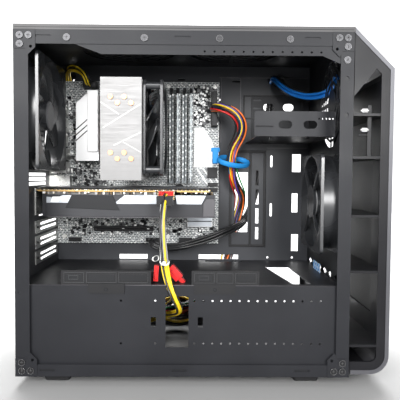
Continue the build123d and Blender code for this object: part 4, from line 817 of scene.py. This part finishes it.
def white_heatsinks():
    """The white heatsinks round the processor; their slanting grooves are black strips of painted shade."""
    bm = bmesh.new()
    near = BOARD_FACE - 31
    far = BOARD_FACE - 1.9
    outline = [(-180, 270), (-147, 270), (-147, 366), (-166, 366), (-180, 353)]
    add_plate(bm, outline, far, far - near)
    # Painted shade: black strips with round ends stand in for the shade inside the slanting grooves.
    for drop in (0, 8, 16):
        x0, z0, x1, z1 = -180.2, 314 - drop, -161.0, 331 - drop
        add_plate(bm, [(x0, z0), (x1, z1), (x1, z1 + 1.9), (x0, z0 + 1.9)], near, 0.25, 1)
        add_rod(bm, (x1 + 1.5, near, z1 + 2.0), (0, -1, 0), 1.0, 0.25, 12, None, 1)
    add_block(bm, (-163, near - 4, 283), (-147.5, near, 372), bevel=0.8)
    add_block(bm, (-143, BOARD_FACE - 26, 371.5), (-128, far, 375.5), bevel=0.5)
    add_block(bm, (-18, BOARD_FACE - 10, 172), (20, far, 222), bevel=1.0, material=2)
    for z in (180, 190, 200, 210):
        add_block(bm, (-17.5, BOARD_FACE - 10.3, z), (19.5, BOARD_FACE - 9.9, z + 1.4), material=1)
    add_block(bm, (-126, BOARD_FACE - 5, 202), (-44, far, 216), bevel=0.8, material=2)
    piece = finish_mesh(
        "white_heatsinks", bm, "case", (WHITE_METAL, BLACK, CARD_SILVER)
    )
    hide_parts("board_heatsinks")


def board_print():
    """Printed shapes on the board: the pale field and the slanting stripes beside it."""
    bm = bmesh.new()
    face = BOARD_FACE
    add_plate(bm, [(-8, 262), (20, 262), (20, 300), (6, 322), (-8, 322)], face, 0.35)
    for index in range(9):
        x = -9.0 + 4.6 * index
        z0, z1 = 224.0, 260.0
        points = [(x, z1), (x + 2.2, z1), (x + 2.2 + 24, z0), (x + 24, z0)]
        clipped = [(min(px, 28.5), pz if px <= 28.5 else pz + (px - 28.5) * 1.5) for px, pz in points]
        add_plate(bm, clipped, face, 0.3, 0 if index % 2 else 1)
    finish_mesh("board_print", bm, "case", (PRINT_WHITE, PRINT_GREY))


BUSY_AREAS = (
    # x from, x to, z from, z to, how many small parts
    (-209, -183, 236, 384, 190),
    (-183, -128, 232, 268, 130),
    (-8, 27, 325, 385, 330),
    (-150, -58, 374, 386, 60),
    (-205, -20, 160, 192, 330),
    (-205, -165, 192, 226, 80),
    (-10, 27, 150, 170, 60),
)


def board_parts():
    """Chips, coils, capacitors and resistors, strewn over the busy areas of the board."""
    draw = random.Random(7)
    bm = bmesh.new()
    for x0, x1, z0, z1, count in BUSY_AREAS:
        for _ in range(count):
            x = draw.uniform(x0, x1)
            z = draw.uniform(z0, z1)
            kind = draw.random()
            if kind < 0.62:
                wide, tall = draw.choice(((0.9, 0.5), (0.5, 0.9), (1.3, 0.8), (0.8, 1.3)))
                top = draw.uniform(0.5, 1.0)
                add_block(
                    bm, (x - wide, BOARD_FACE - top, z - tall), (x + wide, BOARD_FACE, z + tall),
                    material=draw.choice((1, 1, 2)),
                )
            elif kind < 0.84:
                half = draw.uniform(1.4, 3.0)
                add_block(
                    bm, (x - half, BOARD_FACE - 1.1, z - half), (x + half, BOARD_FACE, z + half * 0.8),
                    bevel=0.15, material=0,
                )
            elif kind < 0.94:
                add_rod(bm, (x, BOARD_FACE, z), (0, -1, 0), 2.0, 4.6, 14, 1.9, 0)
                add_rod(bm, (x, BOARD_FACE - 4.6, z), (0, -1, 0), 1.75, 0.3, 14, None, 1)
            else:
                add_block(
                    bm, (x - 2.6, BOARD_FACE - 3.2, z - 2.6), (x + 2.6, BOARD_FACE, z + 2.6),
                    bevel=0.5, material=3,
                )
    coil = coated("coil_grey", (0.13, 0.13, 0.135), 0.4)
    finish_mesh("board_parts", bm, "case", (CHIP, SOLDER, PRINT_WHITE, coil))


def memory_details():
    """Bright contacts along each memory slot and module."""
    bm = bmesh.new()
    for number in range(1, 5):
        x = (low(f"dimm_latch_{number}").x + high(f"dimm_latch_{number}").x) / 2
        face = low("dimm_slots").y + 5.0
        for index in range(14):
            z = 246.0 + 9.2 * index
            add_block(bm, (x - 2.9, face - 0.35, z), (x - 1.2, face, z + 3.4), material=0)
            add_block(bm, (x + 1.2, face - 0.35, z + 2.6), (x + 2.9, face, z + 5.2), material=0)
        add_block(bm, (x - 3.15, face - 0.3, 240), (x - 2.95, face, 368), material=0)
        add_block(bm, (x + 2.95, face - 0.3, 240), (x + 3.15, face, 368), material=0)
    finish_mesh("memory_contacts", bm, "case", (PRINT_WHITE,))


# ---------------------------------------------------------------- graphics card
def card_dress():
    """The card's near side: silver facets, a dark strip, a slanted plate and a brushed end."""
    face = CARD_FACE
    bm = bmesh.new()
    silver_left = [(-199, 213), (-168, 213), (-166, 223), (-178, 223), (-186, 219), (-199, 221)]
    silver_right = [(-112, 212), (-52, 212), (-46, 223.5), (-98, 223.5)]
    silver_end = [(-30, 212), (2, 212), (8, 223.5), (-32, 223.5)]
    for outline in (silver_left, silver_right, silver_end):
        add_plate(bm, outline, face, 1.0, 0)
    for x0, x1 in ((-194, -184), (-96, -74), (-22, -8)):
        add_plate(bm, [(x0, 214), (x1, 214), (x1 + 5, 221), (x0 + 3, 221)], face - 1.0, 0.5, 3)
    strip = [(-199, 196.5), (-120, 195.0), (-40, 196.0), (4, 195.5), (4, 212), (-199, 212)]
    add_plate(bm, strip, face, 1.6, 1)
    add_plate(bm, [(-166.1, 223.4), (-113.2, 222.7), (-104, 203.8), (-174.3, 206.6)], face - 0.4, 2.2, 2)
    add_plate(bm, [(4.2, 196), (19.2, 196), (19.2, 219), (9, 219), (4.2, 213)], face, 1.3, 4)
    edge = [(-199, 194.6), (-120, 193.4), (-40, 194.4), (19, 194.4), (19, 195.5), (-40, 195.6), (-120, 194.7),
            (-199, 196.1)]
    add_plate(bm, edge, face + 0.4, 1.2, 4)
    finishes = (CARD_SILVER, CARD_GREY, DARK_STEEL, WHITE_METAL, CARD_BRUSHED)
    piece = finish_mesh("card_side", bm, "case", finishes)
    bevel = piece.modifiers.new("edges", "BEVEL")
    bevel.width = 0.0003
    bevel.segments = 2


def card_board_edge():
    """The gold line along the card's board, and the row of small parts behind it."""
    draw = random.Random(11)
    bm = bmesh.new()
    z = low("gpu_backplate").z - 2.2
    y = low("gpu_board").y + 2.9
    add_block(bm, (REAR + 6, y - 0.25, z - 0.75), (-58, y + 0.2, z + 0.75), material=0)
    add_block(bm, (-30, y - 0.25, z - 0.75), (CARD_RIGHT - 8, y + 0.2, z + 0.75), material=0)
    for index in range(34):
        x = REAR + 12 + 6.6 * index + draw.uniform(-1.5, 1.5)
        if -60 < x < -28:
            continue
        tall = draw.uniform(1.2, 4.2)
        add_block(bm, (x, y + 1, z - 0.8 - tall), (x + draw.uniform(1.5, 4), y + 5, z - 0.8),
                  bevel=0.2, material=draw.choice((1, 2, 3)))
    finish_mesh("card_board_edge", bm, "case", (GOLD, CHIP, SOLDER, PRINT_GREY))


# ---------------------------------------------------------------- trays and plugs
def tray_panels():
    """Rims and panels on the upright faces of the plastic trays."""
    y = SHROUD_FACE + 0.2
    bm = bmesh.new()
    for x0, x1 in ((-163.5, -58.5), (-9.5, 69.5)):
        middle = x0 + (x1 - x0) * 0.62
        for a, b in ((x0 + 2.5, x0 + 27), (x0 + 29, middle), (middle + 2, x1 - 2.5)):
            add_rim(bm, a, b, SHROUD_TOP + 2.6, SHROUD_TOP + 15.5, y, 0.7, 1.1, 2)
            panel_low = (a + 2.6, y - 0.5, SHROUD_TOP + 5.0)
            panel_high = (b - 2.6, y, SHROUD_TOP + 13.0)
            add_block(bm, panel_low, panel_high, bevel=0.2, material=1)
        add_rim(bm, x0 + 8, x0 + 20, SHROUD_TOP + 6.5, SHROUD_TOP + 12.0, y - 0.4, 0.6, 0.9, 2)
    add_rod(bm, (-110.5, SHROUD_FACE - 1.6, SHROUD_TOP - 4.6), (0, -1, 0), 2.2, 0.5, 16, 1.6, 1)
    add_rod(bm, (17.5, SHROUD_FACE - 1.6, SHROUD_TOP - 4.6), (0, -1, 0), 2.2, 0.5, 16, 1.6, 1)
    grey = coated("tray_grey", (0.035, 0.036, 0.038), 0.36)
    finish_mesh("tray_panels", bm, "case", (BLACK, DARK_STEEL, grey))


def add_power_plug(bm, centre, turn, size, material, rows=3):
    """A wire-to-board plug: bevelled body, latch on one side and a row of wire wells."""
    half = Vector(size) / 2
    spin = turn.to_4x4()
    before = set(bm.verts)
    add_block(bm, -half, half, bevel=0.5, material=material)
    latch_low = (-1.6, -half.y - 1.5, -half.z * 0.7)
    latch_high = (1.6, -half.y, half.z * 0.5)
    add_block(bm, latch_low, latch_high, bevel=0.3, material=material)
    for index in range(rows):
        x = (index - (rows - 1) / 2) * size[0] / rows
        add_rod(bm, (x, 0, half.z - 0.2), (0, 0, 1), 1.5, 0.4, 10, None, 2)
    made = [vert for vert in bm.verts if vert not in before]
    bmesh.ops.transform(bm, matrix=Matrix.Translation(centre) @ spin, verts=made)


def plugs():
    """All the plugs: board, processor, card, header, ports and the two spare red ones."""
    bm = bmesh.new()
    out_near = axis_turn((0, -1, 0)).to_3x3()
    add_power_plug(bm, (21.5, 63.5, 348), out_near @ Matrix.Rotation(math.pi / 2, 3, "Z"), (50, 8, 13), 0, 12)
    add_power_plug(bm, (-162, 65.5, 382.5), out_near, (19, 9, 11), 0, 4)
    add_block(bm, (-75, 69, 149.5), (-65, 75, 154.5), bevel=0.4)
    add_block(bm, (-54.5, CARD_FACE - 3, 222.5), (-33.5, CARD_FACE + 6, 229.6), bevel=0.8, material=1)
    turned_over = Matrix.Rotation(math.pi, 3, "X")
    for x in (-49.2, -38.8):
        add_power_plug(bm, (x, CARD_FACE - 29, 217.5), turned_over, (9.6, 22, 12.5), 0, 3)
    add_power_plug(bm, (-31, -88, 131), Matrix.Rotation(math.radians(-42), 3, "Y"), (12, 9, 19), 1, 3)
    add_power_plug(bm, (-22.0, -87.0, 121.5), Matrix.Rotation(math.radians(-42), 3, "Y"), (6, 8, 8), 1, 1)
    add_power_plug(bm, (-53, -90, 131), Matrix.Rotation(math.radians(4), 3, "Y"), (6.4, 9, 20), 1, 2)
    out = Vector((1, 0, 1)).normalized()
    port = Vector((187.56, -8.0, 386.56))
    add_power_plug(bm, port, axis_turn(-out).to_3x3(), (10, 14, 8), 2, 1)
    piece = finish_mesh("cable_plugs_detail", bm, "case", (BLACK, RED_PLASTIC, CHIP))
    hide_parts("cable_plugs")


# ---------------------------------------------------------------- cables
ATX_ROUTE = [
    (21.5, 57, 348), (21.5, 46, 348), (33, 36, 346), (50, 36, 339), (60, 42, 324), (58, 48, 307),
    (50, 52, 292), (47, 54, 276), (47, 56, 258), (51, 62, 242), (58, 74, 230), (64, 90, 222), (65, 104, 206),
    (60, 105, 184), (52, 104, 158), (46, 104.5, 130), (41, 101, 106), (34, 88, 86), (22, 71, 72),
    (4, 56, 63), (-17, 43, 58), (-38, 31, 55.5), (-56, 22.5, 54.5), (-69, 18.5, 54), (-80, 18, 54),
]
CPU_POWER_ROUTE = [
    (-162, 60, 382.5), (-162, 49.5, 382.5), (-163, 43, 388), (-168, 44, 396), (-179, 50, 403),
    (-190, 60, 405), (-197, 76, 402), (-199, 92, 398), (-200, 103, 386), (-199, 105, 368),
    (-194, 104, 340), (-182, 104.5, 296), (-160, 104, 246), (-128, 105, 198), (-92, 104, 160),
    (-60, 104.5, 128), (-38, 101, 104), (-27, 88, 86), (-29, 70, 72), (-41, 52, 62), (-57, 38, 54),
    (-69, 30.5, 48), (-80, 29, 46),
]
GPU_ROUTE = [
    (-44, -58, 223), (-44, -70, 223), (-45, -80, 212), (-46, -86, 196), (-45.5, -90, 176),
    (-44, -95, 157), (-42, -102, 140), (-38, -110, 124), (-32, -113.6, 109), (-25.5, -110.5, 96),
    (-23.5, -99, 87), (-30, -84, 80), (-42, -61, 73), (-53, -36, 64), (-61, -13, 56), (-69, 3, 49),
    (-80, 7, 46),
]
FRONT_ROUTE = [
    (-70, 69, 152), (-70, 57, 152), (-68, 46, 150), (-58, 44, 145.5), (-44, 52, 143), (-26, 60, 145),
    (-6, 62, 150), (16, 62, 157), (37, 66, 166), (54, 77, 172), (64, 91, 175), (72, 103, 182),
    (82, 105, 200), (90, 104, 232), (98, 105, 276), (105, 104, 322), (110, 105, 358), (112, 104, 382),
    (112, 92, 395), (113, 76, 394), (117, 59, 385), (125, 45, 374), (136, 32, 366), (148, 20, 361),
    (158, 8, 359.5), (166, -1, 360.5), (172.5, -6, 363), (177, -8, 370), (180.49, -8, 379.49),
    (184.73, -8, 383.73),
]


def smooth_line(name, route):
    """The points of a smooth line that is steered by a route, in millimetres."""
    data = bpy.data.curves.new(name, "CURVE")
    data.dimensions = "3D"
    data.resolution_u = 6
    spline = data.splines.new("NURBS")
    spline.points.add(len(route) - 1)
    for point, place in zip(spline.points, route):
        point.co = (*place, 1.0)
    spline.order_u = 3
    spline.use_endpoint_u = True
    holder = bpy.data.objects.new(name, data)
    mesh = bpy.data.meshes.new_from_object(holder)
    points = [vert.co.copy() for vert in mesh.vertices]
    bpy.data.meshes.remove(mesh)
    bpy.data.curves.remove(data)
    return points


def carried_frames(points):
    """For each point of a line, two directions across it that turn as little as possible."""
    frames = []
    side = None
    for index in range(len(points)):
        ahead = (points[min(index + 1, len(points) - 1)] - points[max(index - 1, 0)]).normalized()
        if side is None:
            side = ahead.orthogonal().normalized()
        side = (side - ahead * side.dot(ahead)).normalized()
        frames.append((side, ahead.cross(side)))
    return frames


def wire_bundle(name, route, diameter, colours, wire, spread, twist, seed, later=None, switch=1.0):
    """A cable of loose wires: each keeps its own place round the middle line and wanders a little.
    later holds the colours that are seen once the wires have changed places, from switch onwards."""
    draw = random.Random(seed)
    points = smooth_line(name, route)
    frames = carried_frames(points)
    later = later or colours
    used = list(dict.fromkeys(colours + later))
    materials = [WIRES[colour] for colour in used]
    bm = bmesh.new()
    count = len(colours)
    inner = count // 3
    for index, colour in enumerate(colours):
        within = index < inner
        ring = inner if within else count - inner
        angle = 2 * math.pi * (index if within else index - inner) / max(ring, 1) + draw.uniform(-0.2, 0.2)
        reach = (0.36 if within else 1.0) * (diameter / 2 - wire)
        phase = draw.uniform(0, 6)
        sway = draw.uniform(0.5, 1.0) * spread
        line = []
        for step, (point, (side, other)) in enumerate(zip(points, frames)):
            along = step / len(points)
            free = min(1.0, 6 * along, 6 * (1 - along))
            turned = angle + twist * along + 0.25 * math.sin(9 * along + phase)
            out = reach + sway * free * math.sin(14 * along + phase)
            line.append(point + side * math.cos(turned) * out + other * math.sin(turned) * out)
        change = min(int(len(line) * switch), len(line) - 1)
        add_tube(bm, line[:change + 1], wire, 6, used.index(colour))
        if switch < 1.0:
            add_tube(bm, line[change:], wire, 6, used.index(later[index]))
    piece = finish_mesh(name + "_wires", bm, "case", materials, True)
    if name in NODES:
        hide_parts(name)
    return points


def spare_route():
    """The spare lead from the power supply, coiled at the far side of its chamber."""
    route = [(-80, 26, 58), (-66, 40, 56), (-56, 62, 50)]
    turns = 2.75
    steps = 22
    for step in range(steps + 1):
        along = step / steps
        angle = math.pi + 2 * math.pi * turns * along
        route.append((
            -32 + (34 - 14 * along) * math.cos(angle),
            84 + 16 * along,
            44 + (22 - 10 * along) * math.sin(angle),
        ))
    return route


def all_cables():
    """The cables of the case."""
    loom = ["black", "red", "black", "black", "orange", "blue", "black", "orange", "black", "red", "black",
            "green", "black", "orange", "black", "purple", "yellow", "black", "red", "black"]
    wire_bundle("atx_cable", ATX_ROUTE, 14.0, loom, 1.15, 2.8, 4.6, 3)
    power = ["black", "black", "yellow", "yellow", "black", "yellow", "yellow"]
    wire_bundle("cpu_power_cable", CPU_POWER_ROUTE, 9.0, power, 1.05, 0.9, 1.5, 5)
    card = ["purple", "grey", "yellow", "black", "grey", "yellow", "black", "white"]
    card_low = ["yellow", "yellow", "yellow", "black", "yellow", "yellow", "black", "yellow"]
    wire_bundle("gpu_power_cable", GPU_ROUTE, 9.0, card, 1.2, 1.0, 1.8, 9, card_low, 0.36)
    front = ["black"] * 8
    front_high = ["bright_blue", "bright_blue", "black", "bright_blue",
                  "bright_blue", "black", "black", "bright_blue"]
    wire_bundle("front_cable", FRONT_ROUTE, 12.0, front, 1.9, 0.9, 1.6, 4, front_high, 0.62)
    spare = ["black", "black", "red", "black", "yellow", "black", "black", "red", "black"]
    wire_bundle("spare_lead", spare_route(), 14.0, spare, 2.1, 1.2, 3.0, 8)


def cable_ties():
    """The white tie on the card's cable, its loose loop, and the blue strap on the board's loom."""
    bm = bmesh.new()
    add_ring(bm, (-42.4, -101.0, 145.5), (0.15, -0.45, 1.0), 5.4, 0.8, 24, 6, (1.0, 1.0), 2.0)
    add_block(bm, (-44.5, -108.0, 143.5), (-40.5, -105.0, 147.5), bevel=0.5)
    add_ring(bm, (-53.5, -93.5, 149.0), (1.0, -0.5, 0.1), 4.6, 0.6, 22, 6, (1.6, 0.7), 1.5)
    finish_mesh("white_tie", bm, "case", (TIE_WHITE_AND_PAINTED_LIGHT,), True)
    bm = bmesh.new()
    add_ring(bm, (49.5, 46.0, 270.0), (0.26, -0.32, 1.0), 21.5, 1.3, 44, 8, (1.22, 0.8), 3.0)
    add_block(bm, (18.5, 40.0, 267.0), (27.0, 56.0, 289.0), bevel=1.0)
    add_block(bm, (16.5, 41.0, 284.0), (29.0, 47.0, 290.0), bevel=0.8)
    finish_mesh("blue_strap", bm, "case", (BLUE_BAND,), True)


def main():
    """Everything that is added to the frame."""
    add_camera()
    add_floor()
    add_light()
    bpy.context.scene.view_settings.view_transform = "Standard"
    paint_nodes()
    all_cables()
    all_rotors()
    cooler_fan_frame()
    intake_filter()
    panel_clips()
    tray_black_rims()
    wall_lattice()
    screw_faces()
    top_strips()
    shroud_hem()
    cooler_marks()
    white_heatsinks()
    board_print()
    board_parts()
    memory_details()
    card_dress()
    card_board_edge()
    tray_panels()
    plugs()
    cable_ties()


main()
